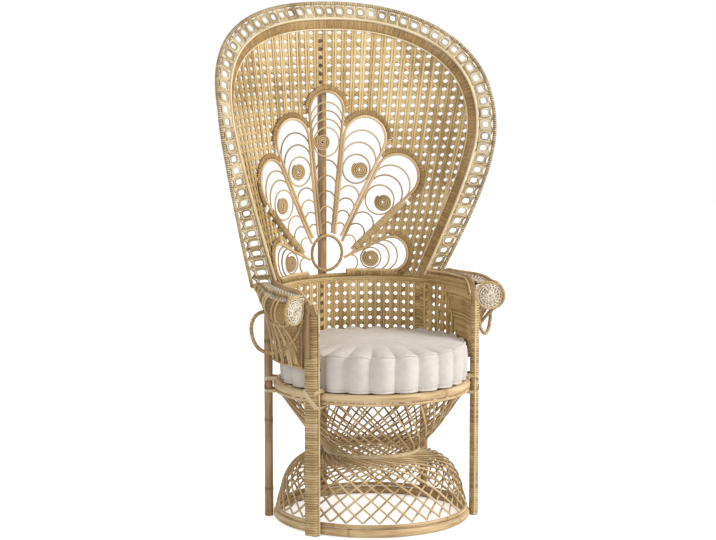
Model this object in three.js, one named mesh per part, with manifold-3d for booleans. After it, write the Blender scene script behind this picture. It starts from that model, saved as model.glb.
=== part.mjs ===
// Peacock chair: a rattan armchair on an hourglass pedestal, with a fan back and a loose round cushion.
// Millimetres, +Z up. The chair faces -Y, and left and right are as seen from the front.
import * as THREE from 'three';
import { mergeVertices } from 'three/addons/utils/BufferGeometryUtils.js';
import Module from 'manifold-3d';

// Gap kept between pieces that touch
const clearance = 0.3;

// Hoops and seat
const hoopReach = 285;
const floorHoopRod = 24;
const upperFloorRod = 12;
const seatHoopRod = 24;
const seatHoopHeight = 393;
const underHoopRod = 9;
const deckThickness = 8;
const seatBarRod = 16;
const seatBarSpacing = 180;

// Hourglass weave of the pedestal
const strandCount = 36;
const strandRod = 6;
const waistRadius = 130;
const waistHeight = 201;
const strandLeap = 31;
const coneTwist = 57;

// Legs and spine
const frontLegAngle = 63.7;
const rearLegAngle = 118.6;
const frontPole = 20;
const bindingWall = 2;
const bindingHeight = 622;
const sleeveEnd = 1;
const rearPole = 25;
const spinePole = 27;
const spineHeight = 1385;
const lashingWidth = 8;
const lashingWall = 2;

// Low wall round the seat
const wallThickness = 5;
const railRod = 10;
const footRailHeight = 470;
const waistRailHeight = 670;
const wallFrontAngle = 61;
const wallFrontHeight = 656;

// Fan back
const backFlare = 0.5;
const panelEdge = 26.5;
const rimSide = 471;
const rimSideHeight = 1110;
const rimTop = 1431;
const rimFoot = 318;
const rimRoundness = 2.3;
const rimInnerRod = 7;
const rimFrontRod = 8;
const rimFrontLift = 8;
const rimBandThickness = 5;
const rimOuterRod = 11;
const archRod = 5.5;
const archCount = 68;
const borderTopWidth = 50;
const borderFootWidth = 72;
const borderTopFold = 30;
const borderFootFold = 85;
const foldHeight = 1180;

// Petals of the fan, on a ring low in the back. The two ribs of a petal head out from its apex, which is
// given from the ring's centre.
const fanHeight = 738;
const fanRingRadius = 52;
const fanRod = 9;
const archedRod = 4.5;
const eyeRodGap = 0.6;
const eyeRod = 5.2;
const eyeRadius = 26;
const eyeTurns = 2.6;
const eyeStepsPerTurn = 9;
const eyeHoopRadius = 31;
const petals = [
  { name: 'centre', apex: [0, -167], angle: 0, half: 6.16, reach: 588.3, eye: 497, above: 3, below: 5,
    abovePitch: 27, belowPitch: 40, edge: [0, 28, 54, 78] },
  { name: 'upper', apex: [14.8, -29.5], angle: 16.7, half: 10.55, reach: 383, eye: 289, above: 2, below: 3,
    abovePitch: 31, belowPitch: 38, edge: [-72, -43, -14, 14, 43, 72] },
  { name: 'middle', apex: [-13.5, -84.5], angle: 37.57, half: 10.32, reach: 390, eye: 301, above: 2, below: 3,
    abovePitch: 31, belowPitch: 38, edge: [-72, -43, -14, 14, 43, 72, 100] },
  { name: 'lower', apex: [-46, -57], angle: 78.5, half: 12.3, reach: 256.8, eye: 191.8, above: 2, below: 1,
    abovePitch: 26, belowPitch: 26, edge: [-78, -40, 0, 40, 75] },
];
const ribTrim = 0.1;
const strutFoot = 120;
const strutReach = 352;

// Openings of the cane panel, in a plain grid
const meshColumns = 12;
const meshBar = 30;
const meshMargin = 9;
const leastOpening = 250;

// Arms, from the back corner to the front leg
const armRise = [
  { angle: 111, rail: 283, height: 686, reach: 316, roll: 9 },
  { angle: 98, rail: 284, height: 685, reach: 342, roll: 14 },
  { angle: 85, rail: 288, height: 683, reach: 372, roll: 26 },
  { angle: 74, rail: 293.5, height: 678, reach: 392, roll: 42 },
];
const wingThickness = 4;
const wingEnd = -35;
const wingFlat = 0.35;
const ribPairs = 5;
const ribRod = 6;
const ribFirstAngle = 78.6;
const ribPitch = 7.2;
const ribSplit = 2;
const scrollRod = 11;
const scrollHeading = 48;
const scrollSweep = [[38, 575], [66, 537], [109, 515], [147, 522], [168, 550], [173, 588], [161, 617],
  [138, 630], [112, 627], [92, 638]];
const scrollTopReach = 85;

// Cushion
const cushionRadius = 270;
const cushionForward = 12;
const cushionHeight = 112;
const cushionCrown = 12;
const cushionTufts = 26;
const tuftDepth = 7;

// Facets
const hoopSegments = 36;
const hoopSides = 8;
const rodSides = 6;
const facetSeat = 0.72;

const rad = THREE.MathUtils.degToRad;
const { lerp, clamp } = THREE.MathUtils;
const wasm = await Module();
wasm.setup();

const chair = new THREE.Group();
const pole = new THREE.MeshStandardMaterial({ color: 0xb58a58, roughness: 0.55, metalness: 0 });
const cane = new THREE.MeshStandardMaterial({ color: 0xc6a06c, roughness: 0.65, metalness: 0 });
const binding = new THREE.MeshStandardMaterial({ color: 0xa57c4c, roughness: 0.6, metalness: 0 });
const linen = new THREE.MeshStandardMaterial({ color: 0xe4ded0, roughness: 0.95, metalness: 0 });

// A path that runs straight from each of its stations to the next
class StationPath extends THREE.Curve {
  constructor(stations) {
    super();
    this.stations = stations;
  }

  getUtoTmapping(u) {
    return u;
  }

  getPoint(t, target = new THREE.Vector3()) {
    const place = t * (this.stations.length - 1);
    const index = Math.min(Math.floor(place), this.stations.length - 2);
    return target.copy(this.stations[index]).lerp(this.stations[index + 1], place - index);
  }
}

// Merges shared corners and turns the faces out
function closed(geometry) {
  const shell = geometry.clone();
  shell.deleteAttribute('normal');
  shell.deleteAttribute('uv');
  const merged = mergeVertices(shell, 1e-4);
  const position = merged.attributes.position;
  const index = merged.index.array;
  const [a, b, c] = [new THREE.Vector3(), new THREE.Vector3(), new THREE.Vector3()];
  let volume = 0;
  for (let i = 0; i < index.length; i += 3) {
    a.fromBufferAttribute(position, index[i]);
    b.fromBufferAttribute(position, index[i + 1]);
    c.fromBufferAttribute(position, index[i + 2]);
    volume += a.dot(b.cross(c));
  }
  if (volume < 0) {
    for (let i = 0; i < index.length; i += 3) {
      [index[i], index[i + 1]] = [index[i + 1], index[i]];
    }
  }
  return merged;
}

function solid(geometry) {
  const shell = closed(geometry);
  const vertProperties = new Float32Array(shell.attributes.position.array);
  const triVerts = new Uint32Array(shell.index.array);
  return new wasm.Manifold(new wasm.Mesh({ numProp: 3, vertProperties, triVerts }));
}

function shellOf(body) {
  const mesh = body.getMesh();
  const geometry = new THREE.BufferGeometry();
  geometry.setAttribute('position', new THREE.BufferAttribute(mesh.vertProperties, 3));
  geometry.setIndex(new THREE.BufferAttribute(mesh.triVerts, 1));
  return geometry;
}

function fuse(geometries) {
  return shellOf(geometries.map(solid).reduce((sum, next) => sum.add(next)));
}

function pierce(geometry, cutters) {
  return shellOf(cutters.map(solid).reduce((left, cutter) => left.subtract(cutter), solid(geometry)));
}

function addPart(name, geometry, material) {
  const shell = closed(geometry);
  shell.computeVertexNormals();
  const mesh = new THREE.Mesh(shell, material);
  mesh.name = name;
  chair.add(mesh);
  return mesh;
}

function roundSection(diameter, sides) {
  const corners = Array.from({ length: sides }, (_, i) => {
    const turn = (i / sides) * 2 * Math.PI;
    return new THREE.Vector2(diameter / 2 * Math.cos(turn), diameter / 2 * Math.sin(turn));
  });
  return new THREE.Shape(corners);
}

function rod(stations, diameter, sides = rodSides) {
  const extrudePath = new StationPath(stations);
  const section = roundSection(diameter, sides);
  return new THREE.ExtrudeGeometry(section, { steps: stations.length - 1, extrudePath, bevelEnabled: false });
}

function hoop(radius, diameter, height, sides = hoopSides) {
  return new THREE.TorusGeometry(radius, diameter / 2, sides, hoopSegments).translate(0, 0, height);
}

// A sheet of one unit cube bent by place(u, v, w), each from 0 to 1
function bentSheet(columns, rows, place) {
  const sheet = new THREE.BoxGeometry(1, 1, 1, columns, rows, 1);
  const position = sheet.attributes.position;
  for (let i = 0; i < position.count; i += 1) {
    const spot = place(position.getX(i) + 0.5, position.getY(i) + 0.5, position.getZ(i) + 0.5);
    position.setXYZ(i, spot.x, spot.y, spot.z);
  }
  return sheet;
}

// A point round the pedestal's axis, with its angle from the front, on the right for side 1
function around(radius, angle, height, side = 1) {
  return new THREE.Vector3(side * radius * Math.sin(rad(angle)), -radius * Math.cos(rad(angle)), height);
}

function steps(count, from, to) {
  return Array.from({ length: count + 1 }, (_, i) => lerp(from, to, i / count));
}

const sides = [{ label: 'left', side: -1 }, { label: 'right', side: 1 }];

// Hoops and seat deck
const floorHoopRadius = hoopReach - floorHoopRod / 2;
const seatHoopRadius = hoopReach - seatHoopRod / 2;
const upperFloorHeight = floorHoopRod + clearance + upperFloorRod / 2;
const seatTop = seatHoopHeight + seatHoopRod / 2;
const deckTop = seatTop - clearance;
const deckRadius = seatHoopRadius - seatHoopRod / 2 - 2 * clearance;
const seatBarHeight = deckTop - deckThickness - clearance - seatBarRod / 2;
const seatBarReach = seatHoopRadius - seatHoopRod / 2 - clearance;

addPart('floor_hoop', hoop(floorHoopRadius, floorHoopRod, floorHoopRod / 2), pole);
addPart('floor_hoop_upper', hoop(floorHoopRadius, upperFloorRod, upperFloorHeight, 4), pole);
addPart('seat_hoop', hoop(seatHoopRadius, seatHoopRod, seatHoopHeight), pole);

const deck = new THREE.CylinderGeometry(deckRadius, deckRadius, deckThickness, hoopSegments);
addPart('seat_deck', deck.rotateX(Math.PI / 2).translate(0, 0, deckTop - deckThickness / 2), cane);

for (const { label, side } of sides) {
  const x = side * seatBarSpacing / 2;
  const half = Math.sqrt(seatBarReach ** 2 - (seatBarSpacing / 2 + seatBarRod / 2) ** 2);
  const ends = [new THREE.Vector3(x, -half, seatBarHeight), new THREE.Vector3(x, half, seatBarHeight)];
  addPart(`seat_bar_${label}`, rod(ends, seatBarRod, 8), pole);
}

// Hourglass weave: one long cane that runs down the outer layer and up the inner one, turning at the hoops,
// and that sweeps equal areas about the axis as it goes
const weaveFoot = floorHoopRod + 2 * clearance + upperFloorRod + strandRod / 2;
const weaveTop = seatHoopHeight - seatHoopRod / 2 - clearance - strandRod / 2;
const weaveLayer = strandRod / 2 + 2 * clearance;
const weaveRim = seatHoopRadius - weaveLayer;
const inCone = (radius, height) =>
  new THREE.Vector2(lerp(waistRadius, weaveRim, radius), lerp(waistHeight, weaveTop, height));
const inDome = (radius, height) =>
  new THREE.Vector2(lerp(waistRadius, floorHoopRadius, radius), lerp(waistHeight, weaveFoot, height));
const weaveProfile = [
  inCone(1, 1), inCone(0.93, 0.94), inCone(0.42, 0.38), inCone(0, 0),
  inDome(0.18, 0.1), inDome(0.45, 0.17), inDome(0.7, 0.33), inDome(0.85, 0.57), inDome(0.95, 0.9),
  inDome(1, 1),
];
const waistIndex = 3;
const strandPitch = 360 / strandCount;

function strandTurns() {
  const swept = weaveProfile.map(() => 0);
  for (let i = 1; i < weaveProfile.length; i += 1) {
    const length = weaveProfile[i].distanceTo(weaveProfile[i - 1]);
    swept[i] = swept[i - 1] + length / (weaveProfile[i].x * weaveProfile[i - 1].x);
  }
  const neck = swept[waistIndex];
  const foot = swept[swept.length - 1] - neck;
  const domeTwist = strandLeap * strandPitch / 2 - coneTwist;
  return swept.map((sum) =>
    (sum < neck ? sum / neck * coneTwist : coneTwist + (sum - neck) / foot * domeTwist));
}

function weaveSpot(index, angle, layer) {
  const last = weaveProfile.length - 1;
  const spot = weaveProfile[index];
  if (index === 0 || index === last) {
    return around(spot.x, angle, spot.y);
  }
  const along = weaveProfile[index + 1].clone().sub(weaveProfile[index - 1]).normalize();
  return around(spot.x - layer * along.y, angle, spot.y + layer * along.x);
}

function pedestalWeave() {
  const turns = strandTurns();
  const run = turns[turns.length - 1];
  const stations = [];
  for (let i = 0; i < strandCount; i += 1) {
    const first = i * strandLeap * strandPitch;
    turns.forEach((turn, index) => stations.push(weaveSpot(index, first + turn, weaveLayer)));
    for (let index = turns.length - 2; index > 0; index -= 1) {
      stations.push(weaveSpot(index, first + 2 * run - turns[index], -weaveLayer));
    }
  }
  return rod(stations, strandRod, 3);
}

addPart('pedestal_weave', pedestalWeave(), cane);

const underHoopRadius = weaveRim + strandRod / 2 + clearance + underHoopRod / 2;
const underHoopHeight = seatHoopHeight - clearance
  - Math.sqrt(((seatHoopRod + underHoopRod) / 2) ** 2 - (underHoopRadius - seatHoopRadius) ** 2);
addPart('seat_hoop_under', hoop(underHoopRadius, underHoopRod, underHoopHeight, 4), pole);

// Legs: a bound pair of poles each side in front, one bare pole each side behind, and the spine
const poleFace = hoopReach + clearance;
const pairHalf = frontPole / 2 + clearance / 2;
const frontLegRadius = poleFace + bindingWall + clearance + frontPole / 2;
const rearLegRadius = poleFace + rearPole / 2;
const spineRadius = poleFace + spinePole / 2;
const bindingDepth = frontPole / 2 + clearance + bindingWall;
const wallRadius = poleFace - clearance - railRod / 2;
const waistTop = waistRailHeight + railRod / 2 + clearance;

function legPlace(offset, height, side) {
  const swing = THREE.MathUtils.radToDeg(Math.atan2(offset, frontLegRadius));
  return around(Math.hypot(frontLegRadius, offset), frontLegAngle + swing, height, side);
}

function stadium(half, radius) {
  const shape = new THREE.Shape();
  shape.absarc(half, 0, radius, -Math.PI / 2, Math.PI / 2, false);
  shape.absarc(-half, 0, radius, Math.PI / 2, Math.PI * 1.5, false);
  return shape;
}

function armPole(side) {
  const upright = [clearance, frontPole].map((rise) => legPlace(pairHalf, bindingHeight + rise, side));
  const sweep = armRise.map(({ rail, angle, height }) => around(rail, angle, height, side)).reverse();
  const bend = new THREE.CatmullRomCurve3([...upright, ...sweep]).getPoints(11);
  return rod([legPlace(pairHalf, 0, side), ...bend], frontPole, 8);
}

for (const { label, side } of sides) {
  const post = [legPlace(-pairHalf, 0, side), legPlace(-pairHalf, bindingHeight, side)];
  addPart(`front_post_${label}`, rod(post, frontPole, 8), pole);
  addPart(`arm_pole_${label}`, armPole(side), pole);

  const sleeve = stadium(pairHalf, bindingDepth);
  sleeve.holes.push(new THREE.Path(stadium(pairHalf, bindingDepth - bindingWall).getPoints(4)));
  const sleeveDepth = bindingHeight - 2 * sleeveEnd;
  const wrap = new THREE.ExtrudeGeometry(sleeve, { depth: sleeveDepth, bevelEnabled: false, curveSegments: 4 });
  const wrapFoot = legPlace(0, sleeveEnd, side);
  wrap.rotateZ(side * rad(frontLegAngle));
  addPart(`leg_binding_${label}`, wrap.translate(wrapFoot.x, wrapFoot.y, wrapFoot.z), binding);

  const rear = [0, waistTop].map((height) => around(rearLegRadius, rearLegAngle, height, side));
  addPart(`rear_leg_${label}`, rod(rear, rearPole, 10), pole);
}
const spine = [0, spineHeight].map((height) => around(spineRadius, 180, height));
addPart('spine_pole', rod(spine, spinePole, 10), pole);

// Cane lashings that tie each leg to the seat hoops: slung at 45 degrees round the leg, with both ends
// tacked to the hoops
const lashedTop = seatTop + clearance;
const lashedFoot = underHoopHeight - underHoopRod / 2 - clearance;
const lashingEnd = weaveRim + strandRod / 2 + 2 * clearance;

function lashing(angle, legHalf, legDepth, side) {
  const outer = hoopReach + 2 * clearance + legDepth;
  const reach = Math.max((lashedTop - lashedFoot) / 2, legHalf) * Math.SQRT2 + lashingWidth / 2 + clearance;
  const corner = reach / 3;
  const turns = [[1, 90, 0], [-1, 0, -90]];
  const bend = (grow) => turns.flatMap(([sign, from, to]) => steps(2, from, to).map((turn) =>
    new THREE.Vector2(outer - corner + (corner + grow) * Math.cos(rad(turn)),
      sign * (reach - corner) + (corner + grow) * Math.sin(rad(turn)))));
  const ends = (grow) => [new THREE.Vector2(lashingEnd, reach + grow), ...bend(grow),
    new THREE.Vector2(lashingEnd, -reach - grow)];
  const strap = new THREE.Shape([...ends(lashingWall), ...ends(0).reverse()]);
  const band = new THREE.ExtrudeGeometry(strap, { depth: lashingWidth, bevelEnabled: false });
  band.translate(0, 0, -lashingWidth / 2).rotateX(rad(45)).rotateZ(rad(side * angle - 90));
  return band.translate(0, 0, (lashedTop + lashedFoot) / 2);
}

for (const { label, side } of sides) {
  const bound = pairHalf + bindingDepth;
  addPart(`front_lashing_${label}`, lashing(frontLegAngle, bound, 2 * bindingDepth, side), binding);
  addPart(`rear_lashing_${label}`, lashing(rearLegAngle, rearPole / 2, rearPole, side), binding);
}
addPart('spine_lashing', lashing(180, spinePole / 2, spinePole, 1), binding);

// Low wall: a foot rail, a waist rail and three cane panels between them
const wallFoot = footRailHeight + railRod / 2 + clearance;
const wallTop = waistRailHeight - railRod / 2 - clearance;
const cornerAngle = rearLegAngle + 1;
const panelGap = 0.1;
const wallBackHeight = armRise[0].height - frontPole / 2 - 2 * clearance;

function wallRail(from, to, height) {
  const angles = steps(Math.ceil((to - from) / 10), from, to);
  return rod(angles.map((angle) => around(wallRadius, angle, height)), railRod);
}

addPart('wall_foot_rail', wallRail(wallFrontAngle, 360 - wallFrontAngle, footRailHeight), pole);
addPart('waist_rail', wallRail(cornerAngle, 360 - cornerAngle, waistRailHeight), pole);

addPart('wall_panel_back', bentSheet(16, 1, (u, v, w) => {
  const angle = lerp(cornerAngle + panelGap, 360 - cornerAngle - panelGap, u);
  return around(wallRadius + (w - 0.5) * wallThickness, angle, lerp(wallFoot, wallTop, v));
}), cane);

for (const { label, side } of sides) {
  addPart(`wall_panel_${label}`, bentSheet(8, 1, (u, v, w) => {
    const top = lerp(wallFrontHeight, Math.min(wallBackHeight, waistTop - clearance), u);
    const angle = lerp(wallFrontAngle, cornerAngle - panelGap, u);
    return around(wallRadius + (w - 0.5) * wallThickness, angle, lerp(wallFoot, top, v), side);
  }), cane);
}

// The back flares out above the waist. A spot on it is given by its arc length from the middle, its height
// and its distance forward of the panel's middle surface.
function onBack(along, height, forward) {
  const radius = wallRadius + backFlare * Math.max(0, height - waistTop);
  const turn = along / radius;
  const x = (radius - forward) * Math.sin(turn);
  const y = wallRadius - radius + (radius - forward) * Math.cos(turn);
  return new THREE.Vector3(x, y, height);
}

// Outline of the rim's front rod, from the right waist over the top to the left one
function rimHalf() {
  const flank = new THREE.CubicBezierCurve(
    new THREE.Vector2(rimFoot, waistTop),
    new THREE.Vector2(lerp(rimFoot, rimSide, 0.5), lerp(waistTop, rimSideHeight, 0.4)),
    new THREE.Vector2(rimSide, lerp(waistTop, rimSideHeight, 0.77)),
    new THREE.Vector2(rimSide, rimSideHeight),
  );
  const crown = steps(14, 0, 90).slice(1).map((turn) => {
    const x = rimSide * Math.cos(rad(turn)) ** (2 / rimRoundness);
    const z = rimSideHeight + (rimTop - rimSideHeight) * Math.sin(rad(turn)) ** (2 / rimRoundness);
    return new THREE.Vector2(x, z);
  });
  return [...flank.getPoints(10), ...crown];
}

const rightHalf = rimHalf();
const leftHalf = rightHalf.slice(0, -1).reverse().map((spot) => new THREE.Vector2(-spot.x, spot.y));
const rimOutline = new THREE.SplineCurve([...rightHalf, ...leftHalf]);

// A spot on the rim's section: inward of the front rod it slopes to the panel, outward it folds back
function rimSection(u, outward, lift = 0) {
  const spot = rimOutline.getPointAt(u);
  const along = rimOutline.getTangentAt(u);
  const out = new THREE.Vector2(along.y, -along.x);
  if (outward <= 0) {
    const forward = rimFrontLift * (1 + outward / panelEdge) + lift;
    return onBack(spot.x + out.x * outward, Math.max(waistTop, spot.y + out.y * outward), forward);
  }
  const drop = clamp((foldHeight - spot.y) / (foldHeight - waistTop), 0, 1);
  const fold = rad(lerp(borderTopFold, borderFootFold, drop));
  const reach = outward * lerp(borderTopWidth, borderFootWidth, drop) / borderTopWidth;
  const spread = reach * Math.cos(fold) + lift * Math.sin(fold);
  return onBack(spot.x + out.x * spread, Math.max(waistTop, spot.y + out.y * spread),
    rimFrontLift - reach * Math.sin(fold) + lift * Math.cos(fold));
}

const rimSteps = 36;

function rimRod(outward, diameter, sideCount) {
  return rod(steps(rimSteps, 0, 1).map((u) => rimSection(u, outward)), diameter, sideCount);
}

const rimInner = panelEdge - rimInnerRod / 2 - 4 * clearance;
const bandOuter = -rimFrontRod / 2 - clearance;
const bandInner = -rimInner + rimInnerRod / 2 + clearance;
const archFoot = facetSeat * (rimFrontRod + archRod) / 2 + clearance;
const archHead = borderTopWidth - rimOuterRod / 2 - archRod / 2 - clearance;

addPart('rim_inner_rod', rimRod(-rimInner, rimInnerRod, 4), pole);
addPart('rim_front_rod', rimRod(0, rimFrontRod, 4), pole);
addPart('rim_outer_rod', rimRod(borderTopWidth, rimOuterRod, 4), binding);
addPart('rim_band', bentSheet(rimSteps, 1, (u, v, w) =>
  rimSection(u, lerp(bandInner, bandOuter, v), (w - 0.5) * rimBandThickness)), binding);

// Arches of the openwork border: one cane that runs out, along, in and along again
const archStations = [];
for (let i = 0; i < archCount; i += 1) {
  for (const [share, outward] of [[0.12, archFoot], [0.3, archHead], [0.7, archHead], [0.88, archFoot]]) {
    archStations.push(rimSection((i + share) / archCount, outward));
  }
}
addPart('rim_arches', rod(archStations, archRod, 3), cane);

// Fan: petals between ribs that meet at the ring
const fanForward = wallThickness / 2 + 2 * clearance + fanRod / 2;
const ribInset = fanRod / 2 + 1.5 * clearance;
const fanRingReach = fanRingRadius + fanRod / 2 + clearance;

function petalSpot(petal, side, along, across) {
  const turn = rad(petal.angle);
  const [apexX, apexZ] = petal.apex;
  const x = apexX + along * Math.sin(turn) + across * Math.cos(turn);
  return new THREE.Vector2(side * x, fanHeight + apexZ + along * Math.cos(turn) - across * Math.sin(turn));
}

// A spot beside the line that bounds a petal, on its right for edge 1, at a distance from its apex
function besideEdge(petal, along, inset, edge = 1) {
  const half = rad(petal.half);
  const across = along * Math.sin(half) - inset * Math.cos(half);
  return [along * Math.cos(half) + inset * Math.sin(half), edge * across];
}

// Where the ribs of a petal can start: clear of each other and of the ring
function ribStart(petal) {
  const half = rad(petal.half);
  const ringCentre = new THREE.Vector2(0, fanHeight);
  const meets = (along, edge) => steps(2, ribInset - fanRod / 2, ribInset + fanRod / 2).some((inset) =>
    petalSpot(petal, 1, ...besideEdge(petal, along, inset, edge)).distanceTo(ringCentre) < fanRingReach);
  const narrow = (fanRod / 2 + clearance + ribInset * Math.cos(half)) / Math.sin(half);
  let start = petal.eye;
  while (start > narrow && !meets(start, 1) && !meets(start, -1)) {
    start -= ribTrim;
  }
  return start + ribTrim;
}

function tipRadius(petal) {
  return petal.reach * Math.sin(rad(petal.half)) - ribInset;
}

function halfWidth(petal, along) {
  return along * Math.tan(rad(petal.half)) - ribInset / Math.cos(rad(petal.half));
}

const lift = (spot) => onBack(spot.x, spot.y, fanForward);

function petalHoop(petal, side) {
  const ribEnd = petal.reach * Math.cos(rad(petal.half));
  const spots = steps(3, ribStart(petal), ribEnd).slice(0, 3);
  const rib = spots.map((along) => besideEdge(petal, along, ribInset));
  const tip = steps(8, 90 + petal.half, -90 - petal.half).map((turn) =>
    [petal.reach + tipRadius(petal) * Math.cos(rad(turn)), tipRadius(petal) * Math.sin(rad(turn))]);
  const back = rib.slice().reverse().map(([along, across]) => [along, -across]);
  const stations = [...rib, ...tip, ...back].map((spot) => lift(petalSpot(petal, side, ...spot)));
  return rod(stations, fanRod, 4);
}

function petalArc(petal, side, apex) {
  const tilt = Math.tan(rad(petal.half));
  const centre = (apex + ribInset / Math.cos(rad(petal.half))) / (1 + tilt);
  const radius = halfWidth(petal, centre);
  const stations = steps(3, -80, 80).map((turn) => lift(petalSpot(petal, side,
    centre + radius * Math.cos(rad(turn)), radius * Math.sin(rad(turn)))));
  return rod(stations, archedRod, 3);
}

function eyeHoop(petal, side) {
  const ring = new THREE.TorusGeometry(eyeHoopRadius, archedRod / 2, 3, 11);
  const position = ring.attributes.position;
  for (let i = 0; i < position.count; i += 1) {
    const spot = petalSpot(petal, side, petal.eye + position.getX(i), position.getY(i));
    const place = onBack(spot.x, spot.y, fanForward + position.getZ(i));
    position.setXYZ(i, place.x, place.y, place.z);
  }
  return ring;
}

// A petal's frame: its hoop, and arcs out to the tip and in to the ring from the two that hold the eye's hoop
function petalFrame(petal, side) {
  const above = steps(petal.above, 0, petal.above).map((i) => eyeHoopRadius + petal.abovePitch * i);
  const below = steps(petal.below, 0, petal.below).map((i) => -eyeHoopRadius - petal.belowPitch * i);
  const arcs = [...above, ...below].map((apex) => petalArc(petal, side, petal.eye + apex));
  return [petalHoop(petal, side), eyeHoop(petal, side), ...arcs];
}

// The strut outside the middle petal, which stands on the lower one
function strutSpot(petal, side, along) {
  return petalSpot(petal, side, ...besideEdge(petal, along, -ribInset));
}

function strut(petal, side) {
  return rod(steps(4, strutFoot, strutReach).map((along) => lift(strutSpot(petal, side, along))), fanRod, 4);
}

// An eye is one cane wound in a flat spiral, whose outer end lies against its hoop
const eyeCore = eyeRod;
const eyeSpiral = steps(Math.round(eyeTurns * eyeStepsPerTurn), 0, eyeTurns).map((turn) => {
  const outer = eyeRadius - eyeRod / 2;
  const pitch = eyeRod + eyeRodGap;
  const radius = Math.max(eyeCore, outer - pitch * (eyeTurns - turn));
  const angle = 2 * Math.PI * (turn - eyeTurns);
  return new THREE.Vector2(radius * Math.cos(angle), radius * Math.sin(angle));
});

function leastCoilGap() {
  let least = Infinity;
  for (let i = 0; i < eyeSpiral.length; i += 1) {
    for (let j = i + eyeStepsPerTurn - 2; j < eyeSpiral.length; j += 1) {
      least = Math.min(least, eyeSpiral[i].distanceTo(eyeSpiral[j]) - eyeRod);
    }
  }
  return least;
}
console.log(`least gap between the turns of an eye: ${leastCoilGap().toFixed(2)} mm`);

function petalEye(petal, side) {
  const slide = eyeHoopRadius - archedRod / 2 - clearance - eyeRadius;
  const seat = rad(petal.angle === 0 ? 180 : 90);
  const stations = eyeSpiral.map((spot) => {
    const laid = spot.clone().add(new THREE.Vector2(slide, 0)).rotateAround(new THREE.Vector2(), seat);
    return lift(petalSpot(petal, side, petal.eye + laid.x, laid.y));
  });
  return rod(stations, eyeRod, 3);
}

const fanRing = new THREE.TorusGeometry(fanRingRadius, fanRod / 2, 5, 20);
const ringPosition = fanRing.attributes.position;
for (let i = 0; i < ringPosition.count; i += 1) {
  const [x, z, forward] = [ringPosition.getX(i), ringPosition.getY(i), ringPosition.getZ(i)];
  const place = onBack(x, fanHeight + z, fanForward + forward);
  ringPosition.setXYZ(i, place.x, place.y, place.z);
}
addPart('fan_ring', fanRing, binding);

const strutPetal = petals.find(({ name }) => name === 'middle');
for (const petal of petals) {
  const paired = petal.angle > 0;
  for (const { label, side } of paired ? sides : sides.slice(1)) {
    const name = paired ? `${petal.name}_${label}` : petal.name;
    const carried = petal.name === 'lower' ? [strut(strutPetal, side)] : [];
    addPart(`petal_${name}`, fuse([...petalFrame(petal, side), ...carried]), binding);
    addPart(`eye_${name}`, petalEye(petal, side), cane);
  }
}

// Cane panel between the rim and the petals' outline, which follows the strut's outer half
function fanEdge() {
  const edge = [];
  petals.forEach((petal, i) => {
    const radius = tipRadius(petal) + clearance;
    for (const turn of petal.edge) {
      const along = petal.reach + radius * Math.cos(rad(turn));
      edge.push(petalSpot(petal, 1, along, radius * Math.sin(rad(turn))));
    }
    const next = petals[i + 1];
    if (petal === strutPetal) {
      const inward = steps(2, strutReach, (strutFoot + strutReach) / 2);
      edge.push(...inward.map((along) => strutSpot(petal, 1, along)));
    } else if (next) {
      const ends = [[petal, 1], [next, -1]].map(([owner, side]) =>
        petalSpot(owner, 1, ...besideEdge(owner, owner.reach * Math.cos(rad(owner.half)), 0, side)));
      edge.push(ends[0].lerp(ends[1], 0.5));
    }
  });
  return edge;
}

function panelRimSpot(angle) {
  let low = 0;
  let high = 0.5;
  for (let i = 0; i < 40; i += 1) {
    const middle = (low + high) / 2;
    const spot = rimOutline.getPointAt(middle);
    const along = rimOutline.getTangentAt(middle);
    const inset = new THREE.Vector2(spot.x - along.y * panelEdge, spot.y + along.x * panelEdge);
    if (Math.atan2(inset.x, inset.y - fanHeight) > angle) {
      low = middle;
    } else {
      high = middle;
    }
  }
  const spot = rimOutline.getPointAt(low);
  const along = rimOutline.getTangentAt(low);
  return new THREE.Vector2(spot.x - along.y * panelEdge, spot.y + along.x * panelEdge);
}

const rightEdge = fanEdge();
const rightRim = rightEdge.map((spot) => panelRimSpot(Math.atan2(spot.x, spot.y - fanHeight)));
rightEdge.push(new THREE.Vector2(rightEdge[rightEdge.length - 1].x - fanRod, waistTop));
rightRim.push(new THREE.Vector2(rimFoot - panelEdge, waistTop));
const mirrored = (spots) =>
  [...spots.slice(1).reverse().map((spot) => new THREE.Vector2(-spot.x, spot.y)), ...spots];
const panelInner = mirrored(rightEdge);
const panelOuter = mirrored(rightRim);
const panelSheet = bentSheet(panelInner.length - 1, 3, (u, v, w) => {
  const column = Math.round(u * (panelInner.length - 1));
  const spot = panelInner[column].clone().lerp(panelOuter[column], v);
  return onBack(spot.x, Math.max(spot.y, waistTop), (w - 0.5) * wallThickness);
});

// Openings stay clear of the panel's edges, and a sliver of one is left closed
function panelOpenings() {
  const outline = [...panelInner, ...panelOuter.slice().reverse()];
  const edges = outline.map(({ x, y }) => [x, Math.max(y, waistTop)]);
  const field = new wasm.CrossSection([edges], 'NonZero').offset(-meshMargin, 'Miter');
  const pitch = 2 * (rimSide - panelEdge) / meshColumns;
  const square = wasm.CrossSection.square([pitch - meshBar, pitch - meshBar], true);
  const cutters = [];
  for (let row = 0; waistTop + row * pitch < rimTop; row += 1) {
    for (let column = 0; column < meshColumns; column += 1) {
      const across = (column + 0.5 - meshColumns / 2) * pitch;
      const opening = square.translate([across, waistTop + (row + 0.5) * pitch]).intersect(field);
      const loops = opening.area() > leastOpening ? opening.toPolygons() : [];
      cutters.push(...loops.map(panelCutter));
    }
  }
  return cutters;
}

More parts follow.
